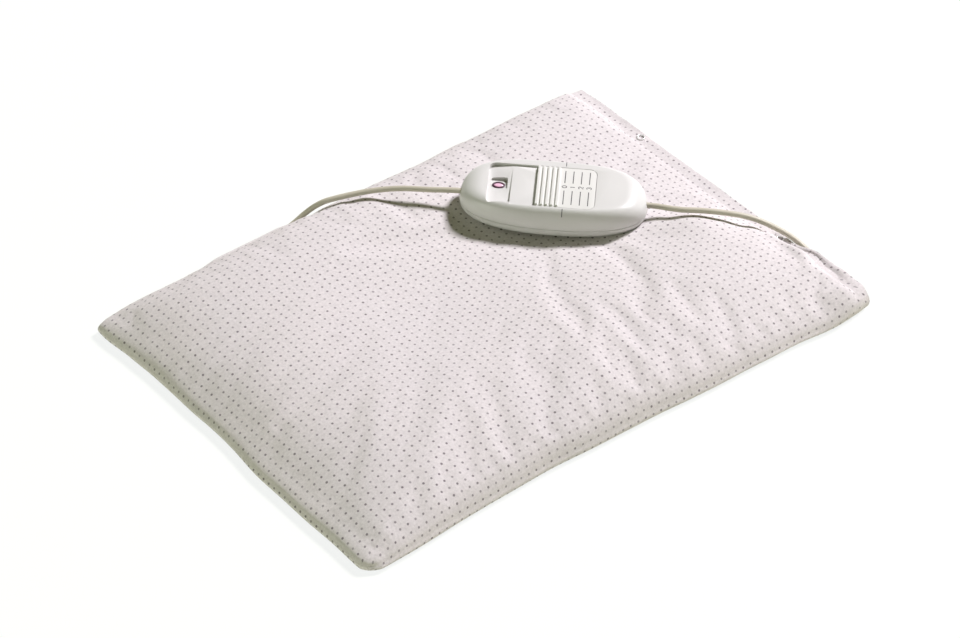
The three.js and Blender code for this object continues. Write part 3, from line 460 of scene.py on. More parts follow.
def hank_point(turn):
    """Centre of the folded lead after some turns: inward in the low layer, then outward above it."""
    radius = HANK["fold"] + HANK["pitch"] * abs(turn - HANK["climb"])
    level = HANK_LOW + HANK["layer"] * float(ease(HANK["climb"] - 0.125, HANK["climb"] + 0.125, turn))
    quarter = int(math.floor(turn * 4 + 1e-9))
    share = turn * 4 - quarter
    side = 1 if quarter % 4 < 2 else -1
    x0, y0 = HANK["at"]
    if quarter % 2 == 0:
        waist = 1 - HANK["waist"] * math.sin(math.pi * share) ** 2
        return np.array([x0 + side * HANK["run"] * (share - 0.5), y0 - side * radius * waist, level])
    angle = math.pi * (share - 0.5)
    x = HANK["run"] / 2 + radius * math.cos(angle)
    return np.array([x0 + side * x, y0 + side * radius * math.sin(angle), level])


hank_steps = round(STEPS_IN_TURN * HANK["turns"])
hank = [hank_point(i / hank_steps * HANK["turns"]) for i in range(hank_steps + 1)]
mains_route = [
    local(-CORD_END, 0, PORT), local(-CORD_END - CORD, 0, PORT),
    local(-BOX_HALF + 2, 0, PORT), local(-BOX_HALF - 4, 0, PORT),
    (29, 96.3, 33.3), (15.4, 111.2, 31.8), (3, 121.8, 29.8), (-8.5, 129.2, 27.9), (-18.6, 134.6, 26.3),
    (-26.4, 139.2, 24), (-32, 143.4, 19.6), (-37.6, 146.8, 14.2), (-45, 148.8, 8.8), (-58, 149.3, 4.5),
    (-76, 149.2, 2.6), (-94, 148.9, 2.1), (-112, 148.4, 2), (-133.8, 139.4, 2), (-142.8, 117.7, 2),
    (-133.8, 95.9, 2), (-112, 86.9, 2), (-90, 86.9, 2.2), (-60, 86.9, 2.7),
]
PLUG_AT = np.array([-66.0, 108.0, 7.0])
step_out = np.array([-CORD, 0, 0])
hank_first, hank_last = hank[0] + step_out, hank[-1] + step_out
tail_route = [hank_last, hank_last + step_out, (hank_last + PLUG_AT) / 2, PLUG_AT - step_out, PLUG_AT]
mains_points = spline(mains_route + [hank_first + step_out, hank_first])
hank_points = spline([hank_first] + hank + [hank_last])
tail_points = spline(tail_route)
mains_line = np.concatenate([mains_points, hank_points[1:], tail_points[1:]])
pad_route = [
    local(CORD_END, 0, PORT), local(CORD_END + CORD, 0, PORT),
    local(BOX_HALF - 2, 0, PORT), local(BOX_HALF + 4, 0, PORT),
    (147, -18.4, 29.2), (157, -26.6, 28.6), (168, -35.8, 27.2), (177.6, -44, 25.2), (185.2, -51, 22.4),
    (191.2, -57.4, 18.9), (196.4, -63.4, 15.1), (200.6, -69.4, 11.5), (203.2, -75.6, 8.2),
    (204.3, -81.9, 5.8), (204.2, -88, 4.9), (202.5, -93, 4.9), (198.6, -96.4, 5),
    (189.6 + CORD, -97.3, 5), (189.4, -97.3, 5),
]
pad_line = spline(pad_route)


def lead(name, points, *stands_for):
    """Round flex along its points."""
    curve = bpy.data.curves.new(name, "CURVE")
    curve.dimensions = "3D"
    line = curve.splines.new("POLY")
    line.points.add(len(points) - 1)
    for p, q in zip(line.points, points):
        p.co = (*(q * MM), 1)
    line.use_smooth = True
    curve.bevel_depth = CORD / 2 * MM
    curve.bevel_resolution = 5
    curve.use_fill_caps = True
    obj = new_object(name, curve)
    belongs(obj, LEAD, PAD, "lead", *stands_for)
    return obj


mains = lead("mains_flex", mains_line, "mains_lead", "mains_lead_hank", "mains_lead_tail")
pad_flex = lead("pad_flex", pad_line, "pad_lead")

# Cover: half sizes, thicknesses, and the bands along its edges
HALF_X, HALF_Y = 200.0, 145.0
CLOTH = 1.5
PANELS = 2 * CLOTH + SEAT
HEM_BAND, HEM_FOLDED, SEAM = 12.0, 5.0, 3.0
MOUTH_BAND, MOUTH = 10.0, 7.6
CROWN, CROWN_FALL = 33.5, 14.0
DIP, DIP_AT = 14.0, (80.0, 32.0)
# Folds across the front edge, as (place, height)
FRONT_FOLDS = ((-62, 0.5), (-18, 0.7), (4, 1.0), (34, 0.8), (78, 0.5))


def hump(x, y, high, at, spread):
    """A soft round rise."""
    return high * np.exp(-(((x - at[0]) / spread[0]) ** 2 + ((y - at[1]) / spread[1]) ** 2))


def underside(x, y):
    """Rise of the back panel along the rear edge, over the spare lead."""
    over = mix(16.4, 10.9, ease(124, 136, y))
    begin = mix(6.4, over, ease(-128, -108, x))
    along = mix(begin, 10.9 - 3.4 * ease(134, 145, y), ease(-60, -40, x))
    return along * ease(-168, -146, x) * (1 - ease(90, 122, x)) * ease(44, 80, y)


def hem_top(x, y):
    """Top of the sewn edge: plain at the rear, folded and thicker elsewhere."""
    folded = np.maximum(np.maximum(1 - ease(-170, -130, x), 1 - ease(20, 80, y)), ease(150, 190, x))
    return SEAM + SEAT / 2 + mix(CLOTH, HEM_FOLDED, folded)


def turned_edge(x, y):
    """How far the rounded edge has fallen near the -X and front sides."""
    end = np.clip(1 - (x + HALF_X) / 9, 0, 1)
    front = np.clip(1 - (y + HALF_Y) / 12, 0, 1)
    turned = np.maximum(2.2 * quarter_round(end), 4.0 * quarter_round(front))
    return turned * (1 - ease(150, 190, x))


def topside(x, y):
    """Top of the filled cover: how it falls to each side, its dip, swells and folds, and the open mouth."""
    left = np.clip(-x / HALF_X, 0, 1)
    right = np.clip(x / (HALF_X - MOUTH_BAND), 0, 1)
    front = np.clip(-y / (HALF_Y + 1), 0, 1)
    rear = np.clip(y / (HALF_Y + 3), 0, 1)
    front_power = mix(0.62, 0.9, ease(0, 160, x))
    rear_power = mix(0.9, 0.65, ease(-160, -40, x)) - 0.2 * ease(90, 150, x)
    left_fall = (1 - left**5) ** mix(0.8, 0.95, ease(-125, -70, y))
    steep, slope = (1 - right**8) ** 0.43, (1 - right**4) ** 0.8
    right_fall = mix(steep, slope, ease(-84, -30, y) * (1 - 0.7 * ease(60, 120, y)))
    fall = left_fall * right_fall * (1 - front**4) ** front_power * (1 - rear**11) ** rear_power

    spread_x = np.where(x > DIP_AT[0], 90, 115) * math.sqrt(2)
    spread_y = np.where(y > DIP_AT[1], 90, 56) * math.sqrt(2)
    dip = hump(x, y, DIP, DIP_AT, (spread_x, spread_y))
    along_front = (1 - ease(-104, -66, y)) * ease(-143, -128, y)
    folds = along_front * sum(high * np.exp(-(((x - at) / 7) ** 2)) for at, high in FRONT_FOLDS)
    swell = hump(x, y, 5, (152, -30), (28, 28)) + hump(x, y, 3.5, (140, -80), (60, 50))
    sag = 4 * (1 - ease(-120, 40, x)) + hump(x, y, 2.5, (-45, 0), (50, 40))
    full = CROWN - CROWN_FALL * x / (2 * HALF_X) - dip + folds + swell - sag

    hem = hem_top(x, y)
    gape = MOUTH + 6.5 * (1 - ease(-98, -72, y))
    corner = np.where(y < 0, ease(HALF_Y - 8, HALF_Y + 6, -y), ease(HALF_Y - 22, HALF_Y, y))
    edge = hem + (gape + CLOTH - hem) * ease(160, 190, x) * (1 - corner)
    made = np.maximum(underside(x, y) + edge, edge + (full - edge) * fall)
    crease = mix(0.9, 0.4, ease(-60, 20, y)) * np.exp(-(((x + HALF_X - HEM_BAND) / 4) ** 2))
    return made - turned_edge(x, y) - crease


def back_low(x, y):
    """Underside of the back panel, which the seam lifts at the sewn edges."""
    in_left = 1 - ease(-HALF_X + HEM_BAND - 2, -HALF_X + HEM_BAND + 14, x)
    in_sides = ease(HALF_Y - 20, HALF_Y - 3, np.abs(y))
    return underside(x, y) + np.maximum(in_left, in_sides) * (SEAM - CLOTH - SEAT / 2)


def front_top(x, y):
    return np.maximum(topside(x, y), back_low(x, y) + PANELS)


# Underside of the controller: height of its lower shell, how far that draws in, and its flat foot
PLAN_POWER = 2.4
TRAY_HIGH, TRAY_PULL = 7.5, (8.0, 5.0)
FOOT = (55.0, 22.0)
TRAY_LEVELS = 25


def box_under(x, y):
    """Height of the controller's underside, far up where it doesn't reach, and distance from its foot."""
    inset = quarter_round(np.linspace(0, 1, TRAY_LEVELS))
    half_long, half_wide = BOX_HALF - TRAY_PULL[0] * inset, BOX_WIDE - TRAY_PULL[1] * inset
    det = BOX_TURN[0, 0] * BOX_TURN[1, 1] - BOX_TURN[0, 1] * BOX_TURN[1, 0]
    z = np.zeros_like(x)
    for _ in range(3):
        dx = x - BOX_AT[0] - z * BOX_TURN[0, 2]
        dy = y - BOX_AT[1] - z * BOX_TURN[1, 2]
        lx = (dx * BOX_TURN[1, 1] - dy * BOX_TURN[0, 1]) / det
        ly = (BOX_TURN[0, 0] * dy - BOX_TURN[1, 0] * dx) / det
        out_long = np.abs(lx[..., None] / half_long) ** PLAN_POWER
        out_wide = np.abs(ly[..., None] / half_wide) ** PLAN_POWER
        inside = (out_long + out_wide < 1).sum(-1)
        z = TRAY_HIGH * (1 - np.clip(inside / TRAY_LEVELS, 0, 1))
    height = BOX_AT[2] + lx * BOX_TURN[2, 0] + ly * BOX_TURN[2, 1] + z * BOX_TURN[2, 2]
    from_foot = np.hypot(np.maximum(np.abs(lx) - FOOT[0], 0), np.maximum(np.abs(ly) - FOOT[1], 0))
    return np.where(inside > 0, height, 1e6), from_foot


# Grid of the cloth
GRID_PITCH = 4.0
GRID_EDGE = np.array([0, 0.7, 1.6, 2.8, 4.2, 5.8, 7.6, 9.6, 11.6, 13.6, 15.6, 17.6, 19.8, 22.0])
GRID_START = 25
MOUTH_LINES = [187.4, 189.0, 189.6]


def lines(half):
    """Grid lines over a length, closer together near both ends."""
    count = int(round((2 * half - 2 * GRID_START) / GRID_PITCH)) + 1
    middle = np.linspace(-half + GRID_START, half - GRID_START, count)
    return np.concatenate([-half + GRID_EDGE, middle, (half - GRID_EDGE)[::-1]])


xs = np.sort(np.concatenate([lines(HALF_X), MOUTH_LINES]))
ys = lines(HALF_Y)
NX, NY = len(xs), len(ys)
GX, GY = np.meshgrid(xs, ys, indexing="ij")
side_x = np.minimum(GX + HALF_X, HALF_X - GX)
side_y = np.minimum(GY + HALF_Y, HALF_Y - GY)
from_edge = np.minimum(side_x, side_y)
flat_band = ease(-HALF_X + 1, -HALF_X + 8, GX) * (1 - ease(HALF_X - 16, HALF_X - 8, GX))
from_foot = box_under(GX, GY)[1]


def rumple(x, y, scale, seed):
    """Smooth noise over the cloth, about -1 to 1."""
    flat = [noise.noise(Vector((a / scale, b / scale, seed))) for a, b in zip(x.ravel(), y.ravel())]
    return np.array(flat).reshape(x.shape)


def ridge(x, y, a, b, wide, high):
    """A soft fold along a straight line from a to b."""
    a, b = np.array(a, float), np.array(b, float)
    d = b - a
    t = np.clip(((x - a[0]) * d[0] + (y - a[1]) * d[1]) / (d @ d), 0, 1)
    away = np.hypot(x - a[0] - t * d[0], y - a[1] - t * d[1])
    return high * np.exp(-((away / wide) ** 2)) * np.sin(math.pi * np.clip(t, 0.08, 0.92)) ** 0.5


# Soft folds of the front panel, as (start, end, width, height)
FOLDS = [
    ((14, -120), (22, -138), 4, -0.5),
    ((120, -92), (168, -116), 10, 0.7),
    ((-120, -108), (-150, -132), 9, 0.6),
    ((140, 70), (180, 96), 8, 0.7),
    ((96, 96), (150, 118), 9, 0.6),
    ((-168, -40), (-176, 60), 7, 0.6),
]
UNDER_PAD_LEAD = ((138, -12), (182, -51), 15, 4.6)
HEM_LEVEL_AT = 196
GAP_START, GAP_FLOOR = 189.3, 4.9


def cover_top():
    """Front panel over the grid with its wrinkles, the gap at the open side and the hem at the -X end."""
    wave = 0.8 * rumple(GX, GY, 46, 1.3) + 0.35 * rumple(GX, GY, 17, 4.1)
    for fold in FOLDS:
        wave += ridge(GX, GY, *fold)
    pucker = 0.7 * rumple(GX, GY * 0.25, 9, 7.7) * np.exp(-(((side_y - 9) / 9) ** 2))
    pucker += 0.8 * rumple(GX * 0.25, GY, 9, 2.2) * np.exp(-(((side_x - 17) / 9) ** 2))
    top = front_top(GX, GY) + (wave * (0.25 + 0.75 * ease(0, 26, from_edge)) + pucker) * flat_band

    # The shoulder behind the open side is evened out.
    evened = top.copy()
    for _ in range(12):
        evened[1:-1] = (evened[:-2] + 2 * evened[1:-1] + evened[2:]) / 4
    top = mix(top, evened, ease(168, 180, GX) * (1 - ease(196, 199, GX)) * ease(-40, -20, GY))

    # Where the pad lead goes in, a gap lies between the filling and the hem.
    along_gap = ease(-140, -116, GY) * (1 - ease(-68, -56, GY))
    top += 3.0 * np.exp(-(((GX - 187) / 5) ** 2)) * along_gap * ease(-112, -92, GY)
    hem_level = top[np.argmin(np.abs(xs - HEM_LEVEL_AT))][None, :]
    gap_floor = mix(hem_level - 2.0, GAP_FLOOR, ease(-106, -92, GY))
    gap = gap_floor + (hem_level - gap_floor) * ease(193.6, 198.4, GX)
    top = mix(top, np.minimum(top, np.where(GX > GAP_START, gap, top)), along_gap)
    top += ridge(GX, GY, *UNDER_PAD_LEAD)

    # The hem of the open side waves, more toward its corners.
    to_corners = np.maximum(ease(50, 90, GY), ease(60, 80, -GY))
    hem_wave = 0.7 * rumple(GX, GY, 22, 9.9) + 0.9 * rumple(GX, GY, 9, 3.1) * to_corners
    in_hem = ease(HALF_X - 18, HALF_X - 4, GX) * (1 - ease(HALF_Y - 10, HALF_Y - 2, np.abs(GY)))
    top += hem_wave * in_hem

    # The sewn hem at the -X end lies nearly flat and the filling rises behind it.
    from_end = GX + HALF_X
    behind_hem = 8.4 + 0.08 * (from_end - 9) + 0.78 * np.maximum(from_end - 9, 0)
    lower_of = -np.logaddexp(-top, -behind_hem)
    top = mix(top, lower_of, (1 - ease(24, 32, from_end)) * mix(0.32, 0.08, ease(20, 100, GY)))

    # The cloth swells a little round the controller.
    return top + 1.6 * (1 - ease(2, 26, from_foot))


LOW = back_low(GX, GY)
BOX_GAP, CORD_GAP = 0.12, 0.15
PRESS_REACH, PRESS_DEPTH = 7, 3.0
ON_TOP = np.concatenate([mains_points[mains_points[:, 2] > 12], pad_line[pad_line[:, 2] > 11.5]])


def keep_clear(x, y, z):
    """Keeps the cloth below the controller and the leads, and above the back panel."""
    z = np.minimum(z, box_under(x, y)[0] - BOX_GAP)
    for q in ON_TOP:
        away = np.hypot(x - q[0], y - q[1]) / PRESS_REACH
        z = np.where(away < 1, np.minimum(z, q[2] - CORD / 2 - CORD_GAP + away**2 * PRESS_DEPTH), z)
    return np.maximum(z, LOW + PANELS)


# Round of the corner at -X and the front
BLUNT = 10.0


def outline(x, y, seed):
    """Plan place of a grid point: sides drawn in, -X end swelling, corners eased, edges a little uneven."""
    reach_in = np.where(x < -70, 110, 150)
    drawn = 7 * np.exp(-(((x + 70) / reach_in) ** 2)) - 2.8 * np.exp(-(((x - 168) / 24) ** 2))
    pull = np.where(y < 0, drawn * (-y / HALF_Y) ** 2, -0.5 * (y / HALF_Y) * (1 - (x / HALF_X) ** 2))
    swell = 1.2 + 3.6 * (1 - ease(-40, 10, y)) + 2.4 * ease(108, 135, y)
    near = np.clip(1 - (HALF_X - np.abs(x)) / 8, 0, 1) * np.clip(1 - (HALF_Y - np.abs(y)) / 8, 0, 1)
    ox = x - np.sign(x) * 0.6 * near - swell * np.clip(-x / HALF_X, 0, 1) ** 6
    oy = y + pull - np.sign(y) * 0.6 * near
    u = np.clip(1 - (x + HALF_X) / BLUNT, 0, 1)
    v = np.clip(1 - (y + HALF_Y) / BLUNT, 0, 1)
    ox = ox + BLUNT * u * (1 - np.sqrt(1 - v * v / 2))
    oy = oy + BLUNT * v * (1 - np.sqrt(1 - u * u / 2))
    rim = 1 - ease(0, 14, from_edge)
    oy = oy + rim * 0.9 * rumple(x, y, 31, seed) * (side_y < side_x)
    ox = ox + rim * 0.7 * rumple(x, y, 27, seed + 3) * (side_x <= side_y)
    return ox, oy


def cloth_places(x, y, z):
    """Distances along the cloth from its middle, for the print."""
    u = np.zeros_like(x)
    v = np.zeros_like(x)
    u[1:] = np.cumsum(np.sqrt(np.diff(x, axis=0) ** 2 + np.diff(z, axis=0) ** 2), axis=0)
    v[:, 1:] = np.cumsum(np.sqrt(np.diff(y, axis=1) ** 2 + np.diff(z, axis=1) ** 2), axis=1)
    i, j = NX // 2, NY // 2
    return u - u[i : i + 1], v - v[:, j : j + 1]


def blur(field, times):
    """Weighted mean over each point and its eight neighbours, several times."""
    for _ in range(times):
        padded = np.pad(field, 1, mode="edge")
        down = padded[:-2] + 2 * padded[1:-1] + padded[2:]
        field = (down[:, :-2] + 2 * down[:, 1:-1] + down[:, 2:]) / 16
    return field


def listed(*fields):
    """Points of fields over a grid, one after another."""
    return np.stack(fields, -1).reshape(-1, len(fields))


def grid_faces(first, nx, ny, flip):
    faces = []
    for i in range(nx - 1):
        for j in range(ny - 1):
            a = first + i * ny + j
            b = a + ny
            faces.append((a, a + 1, b + 1, b) if flip else (a, b, b + 1, a + 1))
    return faces


def rim_walk(nx, ny, mouth):
    """Indices round the grid's border, without the mouth side if it stays open."""
    front = [i * ny for i in range(nx)]
    right = [(nx - 1) * ny + j for j in range(1, ny)]
    rear = [i * ny + ny - 1 for i in range(nx - 2, -1, -1)]
    left = list(range(ny - 2, 0, -1))
    return rear + left + front if mouth else front + right + rear + left


def closed_pad(x, y, top, low):
    """Skin of two sheets over one grid, joined round the border."""
    verts = np.concatenate([listed(x, y, top), listed(x, y, low)])
    nx, ny = x.shape
    below = nx * ny
    faces = grid_faces(0, nx, ny, False) + grid_faces(below, nx, ny, True)
    walk = rim_walk(nx, ny, False)
    for a, b in zip(walk, walk[1:] + walk[:1]):
        faces.append((a, below + a, below + b, b))
    return verts, faces


CLOTH_SETTINGS = dict(
    quality=5, mass=0.25, tension_stiffness=12, compression_stiffness=12, shear_stiffness=6,
    bending_stiffness=0.25, use_pressure=True, uniform_pressure_force=4.0, shrink_min=-0.008,
    vertex_group_mass="held", pin_stiffness=1.0,
)
CLOTH_FRAMES = 20
MOST_MOVE = 1.2


def simulate(top):
    """Wrinkles of a cover that is a little too large for what fills it, from a cloth simulation."""
    obj = new_mesh("cover_sim", *closed_pad(OX, OY, top, LOW))
    below = NX * NY
    pins = obj.vertex_groups.new(name="held")
    hold = np.maximum(1 - ease(2, 12, from_edge), 1 - flat_band)
    hold = np.maximum(hold, 1 - ease(0, 10, from_foot)).ravel()
    for i, weight in enumerate(hold):
        if weight > 0.02:
            pins.add([i], float(weight), "REPLACE")
    pins.add(list(range(below, 2 * below)), 1.0, "REPLACE")
    cloth = obj.modifiers.new("cloth", "CLOTH")
    for name, value in CLOTH_SETTINGS.items():
        setattr(cloth.settings, name, value)
    cloth.settings.effector_weights.gravity = 0.0
    cloth.collision_settings.use_collision = False
    cloth.point_cache.frame_start = 1
    cloth.point_cache.frame_end = CLOTH_FRAMES
    for f in range(1, CLOTH_FRAMES + 1):
        scene.frame_set(f)
    mesh = obj.evaluated_get(bpy.context.evaluated_depsgraph_get()).to_mesh()
    co = np.zeros(len(mesh.vertices) * 3)
    mesh.vertices.foreach_get("co", co)
    moved = co.reshape(-1, 3)[:below].reshape(NX, NY, 3) / MM
    scene.frame_set(1)
    bpy.data.objects.remove(obj)
    shift = moved - np.stack([OX, OY, top], -1)
    detail = np.stack([shift[..., k] - blur(shift[..., k], 24) for k in range(3)], -1)
    size = np.linalg.norm(detail, axis=-1, keepdims=True)
    return detail * np.minimum(1, MOST_MOVE / np.maximum(size, 1e-6))


OX, OY = outline(GX, GY, 5.5)
TOP = keep_clear(GX, GY, cover_top())
wrinkle = simulate(TOP)
CX, CY = OX + wrinkle[..., 0], OY + wrinkle[..., 1]
TOP = keep_clear(CX, CY, TOP + wrinkle[..., 2])

# Rows of the rounded sewn edge, as (share of the way down, push outward), and of the lining in the mouth
EDGE_ROWS = ((0.2, 0.9), (0.45, 1.4), (0.7, 1.3), (0.9, 0.7))
LINING_ROWS = (HALF_X + 0.25, HALF_X - 0.6, HALF_X - 4, HALF_X - 10, HALF_X - 18, HALF_X - 26)


def cover_skin():
    """Points, faces and cloth coordinates of both panels, sewn on three sides and hemmed at the mouth."""
    verts = [listed(CX, CY, TOP), listed(OX, OY, LOW)]
    u, v = cloth_places(CX, CY, TOP)
    uvs = [listed(u, v), listed(OX + 3, -OY)]
    count = NX * NY
    faces = grid_faces(0, NX, NY, False) + grid_faces(count, NX, NY, True)
    walk = rim_walk(NX, NY, True)
    tops, lows = verts[0][walk], verts[1][walk]
    out = np.zeros_like(tops)
    for axis, (grid, half) in enumerate(((GX, HALF_X), (GY, HALF_Y))):
        at = grid.ravel()[walk]
        out[:, axis] = np.where(np.abs(at) >= half - 0.1, np.sign(at), 0)
    out /= np.maximum(np.linalg.norm(out, axis=1, keepdims=True), 1e-9)

    rows = [walk]
    total = 2 * count
    travel = np.zeros((len(walk), 1))
    above = tops
    for share, push in EDGE_ROWS:
        row = mix(tops, lows, share) + out * push
        travel = travel + np.linalg.norm(row - above, axis=1, keepdims=True)
        verts.append(row)
        uvs.append(uvs[0][walk] + out[:, :2] * travel)
        rows.append(list(range(total, total + len(walk))))
        total += len(walk)
        above = row
    rows.append([count + k for k in walk])
    for high, low in zip(rows, rows[1:]):
        for k in range(len(walk) - 1):
            faces.append((high[k + 1], high[k], low[k], low[k + 1]))

    depth = CLOTH * (1 - ease(HALF_Y - 12, HALF_Y, np.abs(ys)) * 0.7)
    for base, sign, y, z in ((0, 1, CY[-1], TOP[-1]), (count, -1, OY[-1], LOW[-1])):
        last = [base + (NX - 1) * NY + j for j in range(NY)]
        for n, x in enumerate(LINING_ROWS):
            share = 0.5 if n == 0 else 1.0
            row_x = np.full(NY, x) + (CX[-1] - HALF_X) * (n < 2)
            verts.append(listed(row_x, y, z - sign * depth * share))
            uvs.append(listed(np.full(NY, u[-1].mean() + n * 3.0), v[-1]))
            this = list(range(total, total + NY))
            total += NY
            for j in range(NY - 1):
                quad = (last[j], this[j], this[j + 1], last[j + 1])
                faces.append(quad if sign > 0 else tuple(reversed(quad)))
            last = this
    return np.concatenate(verts), faces, np.concatenate(uvs) * MM


def make_cover():
    """The cotton cover with its print laid along the cloth."""
    verts, faces, uvs = cover_skin()
    obj = new_mesh("cotton_cover", verts, faces)
    layer = obj.data.uv_layers.new(name="cloth")
    index = np.zeros(len(obj.data.loops), np.int32)
    obj.data.loops.foreach_get("vertex_index", index)
    layer.data.foreach_set("uv", uvs[index].astype(np.float32).ravel())
    smooth = obj.modifiers.new("smooth", "SUBSURF")
    smooth.levels = smooth.render_levels = 1
    settle(obj)
    soften(obj)
    belongs(obj, COTTON, PAD, "cotton", "cotton_cover_front", "cotton_cover_back")


INSERT_X, INSERT_Y = (-182, 176), (-122, 124)


def make_insert():
    """The heating layer inside, a slack pad with a rounded edge."""
    x, y = np.meshgrid(np.linspace(*INSERT_X, 61), np.linspace(*INSERT_Y, 43), indexing="ij")
    pull = 1 - (np.where(y < 0, 5.0, 0.5) / HALF_Y) * (1 - (x / HALF_X) ** 2)
    low = back_low(x, y) + CLOTH + 0.4
    edge_x = np.minimum(x - INSERT_X[0], INSERT_X[1] - x)
    edge_y = np.minimum(y - INSERT_Y[0], INSERT_Y[1] - y)
    top = np.minimum(topside(x, y), np.minimum(front_top(x, y), box_under(x, y)[0])) - CLOTH - 3.0
    high = np.maximum(mix(low + 2.0, top, ease(-2, 24, np.minimum(edge_x, edge_y))), low + 1.6)
    obj = new_mesh("heating_layer", *closed_pad(x, y * pull, high, low), sharp=60)
    belongs(obj, FLEECE, PAD, "fleece", "heating_layer_back_fleece", "heating_layer_front_fleece")


make_cover()
make_insert()

# Controller housing
BOX_TOP, WALL = 22.5, 2.0
DOME_LOW, DOME_PULL, DOME_POWER = 7.8, (15, 6), 3.2
ABOVE = 30
TRACK_LEFT, TRACK_RIGHT, TRACK_NEAR, TRACK_FAR, TRACK_FLOOR = -28.3, 27.5, -22.4, 18.1, 21.0
WINDOW_LEFT, WINDOW_NEAR = -43.9, -20.6
POCKET = (-41.8, -30.8, -3.9, 6.6)
LENS_AT, LENS_HOLE = (-36.6, -0.3), (3.5, 2.2)
LEG_SLOT = (-11.7, 10.9, -3.5, 3.5, 10)
# Plastic left under the track, the window and the pocket, as (x0, x1, y0, y1, lowest)
UNDER_RECESSES = (
    (-29.9, 29.1, -24.0, 20.1, 19.4), (-45.5, -28.3, -24.0, 20.1, 16.9), (-43.4, -29.3, -7.0, 8.2, 15.3),
)
PORT_RADIUS, PORT_CUT = 2.2, ((-70, -40), (40, 70))
SCREWS_AT, SCREW_HOLE = (34, 17), 2.9


def ring(z, inset, power):
    """Rounded plan of the housing at a level."""
    a, b = BOX_HALF - inset[0], BOX_WIDE - inset[1]
    points = []
    for t in around(144):
        c, s = math.cos(t), math.sin(t)
        x = a * math.copysign(abs(c) ** (2 / power), c)
        y = b * math.copysign(abs(s) ** (2 / power), s)
        points.append((x, y, z))
    return points


def half_shell(split, face, pull, power, wall, steps):
    """Half of the housing, from its split to its face, drawn in by a wall thickness."""
    rings = []
    for k in range(steps + 1):
        s = math.sin(math.pi / 2 * k / steps)
        inset = [amount * quarter_round(s) + wall for amount in pull]
        rings.append(ring(mix(split, face, s), inset, mix(PLAN_POWER, power, s)))
    return loft(rings if face > split else rings[::-1])


def dome(wall):
    return half_shell(DOME_LOW, BOX_TOP - wall, DOME_PULL, DOME_POWER, wall, 22)


def tray(wall):
    return half_shell(TRAY_HIGH, wall, TRAY_PULL, PLAN_POWER, wall, 14)


def block(x0, x1, y0, y1, z0, z1=ABOVE):
    return slab([(x0, y0), (x1, y0), (x1, y1), (x0, y1)], z0, z1)


def rounded_end(x0, x1, y0, y1, corner):
    """Plan of a plate that is square at x0 and has round corners at x1."""
    near = corner_arc(x1 - corner, y0 + corner, corner, -90)
    far = corner_arc(x1 - corner, y1 - corner, corner, 0)
    return [(x0, y1), (x0, y0)] + near + far


def sunk(points, floor):
    """Cutter over a plan outline, down to a floor that may slope."""
    return loft([[(x, y, floor(x, y)) for x, y in points], [(x, y, ABOVE) for x, y in points]])


def window_floor(x, y):
    return 20.1 - 0.11 * (TRACK_LEFT - x) + 0.05 * y


def pocket_floor(x, y):
    return 18.6 - 0.13 * (y - POCKET[2])


def window_plan():
    near = corner_arc(WINDOW_LEFT + 3, WINDOW_NEAR + 3, 3, 180)
    far = corner_arc(WINDOW_LEFT + 5, TRACK_FAR - 5, 5, 90)
    return near + [(TRACK_LEFT, WINDOW_NEAR), (TRACK_LEFT, TRACK_FAR)] + far


def pocket_plan():
    x0, x1, y0, y1 = POCKET
    return [(x0, y0), (x1, y0)] + corner_arc(x1 - 2, y1 - 2, 2, 0) + corner_arc(x0 + 2, y1 - 2, 2, 90)


def moulded(obj, edge, segments, angle):
    """Rounds the edges of a controller piece and puts it in its place."""
    bevel = obj.modifiers.new("edge", "BEVEL")
    bevel.width = edge * MM
    bevel.segments = segments
    bevel.limit_method = "ANGLE"
    bevel.angle_limit = math.radians(angle)
    bevel.use_clamp_overlap = True
    bevel.harden_normals = False
    settle(obj)
    soften(obj, 38)
    place(obj)


upper = new_mesh("controller_top", *dome(0))
hollowing = new_mesh("hollow", *dome(WALL))
for kept in UNDER_RECESSES:
    carve(hollowing, block(*kept))
boolean(upper, hollowing, "DIFFERENCE")
track_plan = rounded_end(TRACK_LEFT - 0.01, TRACK_RIGHT, TRACK_NEAR, TRACK_FAR, 5.3)
carve(upper, slab(track_plan, TRACK_FLOOR, ABOVE))
carve(upper, sunk(window_plan(), window_floor))
carve(upper, sunk(pocket_plan(), pocket_floor))
carve(upper, block(*LEG_SLOT))
carve(upper, slab(ellipse(*LENS_AT, *LENS_HOLE), 10, ABOVE))
for ends in PORT_CUT:
    round_port = [(PORT_RADIUS * math.sin(t), PORT - PORT_RADIUS * math.cos(t)) for t in around(32)]
    carve(upper, loft([[(x, y, z) for y, z in round_port] for x in ends]))
moulded(upper, 0.3, 3, 45)
belongs(upper, SHELL, PAD, "shell", "controller_upper_shell")

lower = new_mesh("controller_base", *tray(0))
carve(lower, tray(WALL))
for x in (-SCREWS_AT[0], SCREWS_AT[0]):
    for y in (-SCREWS_AT[1], SCREWS_AT[1]):
        carve(lower, slab(ellipse(x, y, SCREW_HOLE, SCREW_HOLE, 32), -2, 2.6))
moulded(lower, 0.25, 2, 45)
belongs(lower, SHELL, PAD, "shell", "controller_lower_shell")

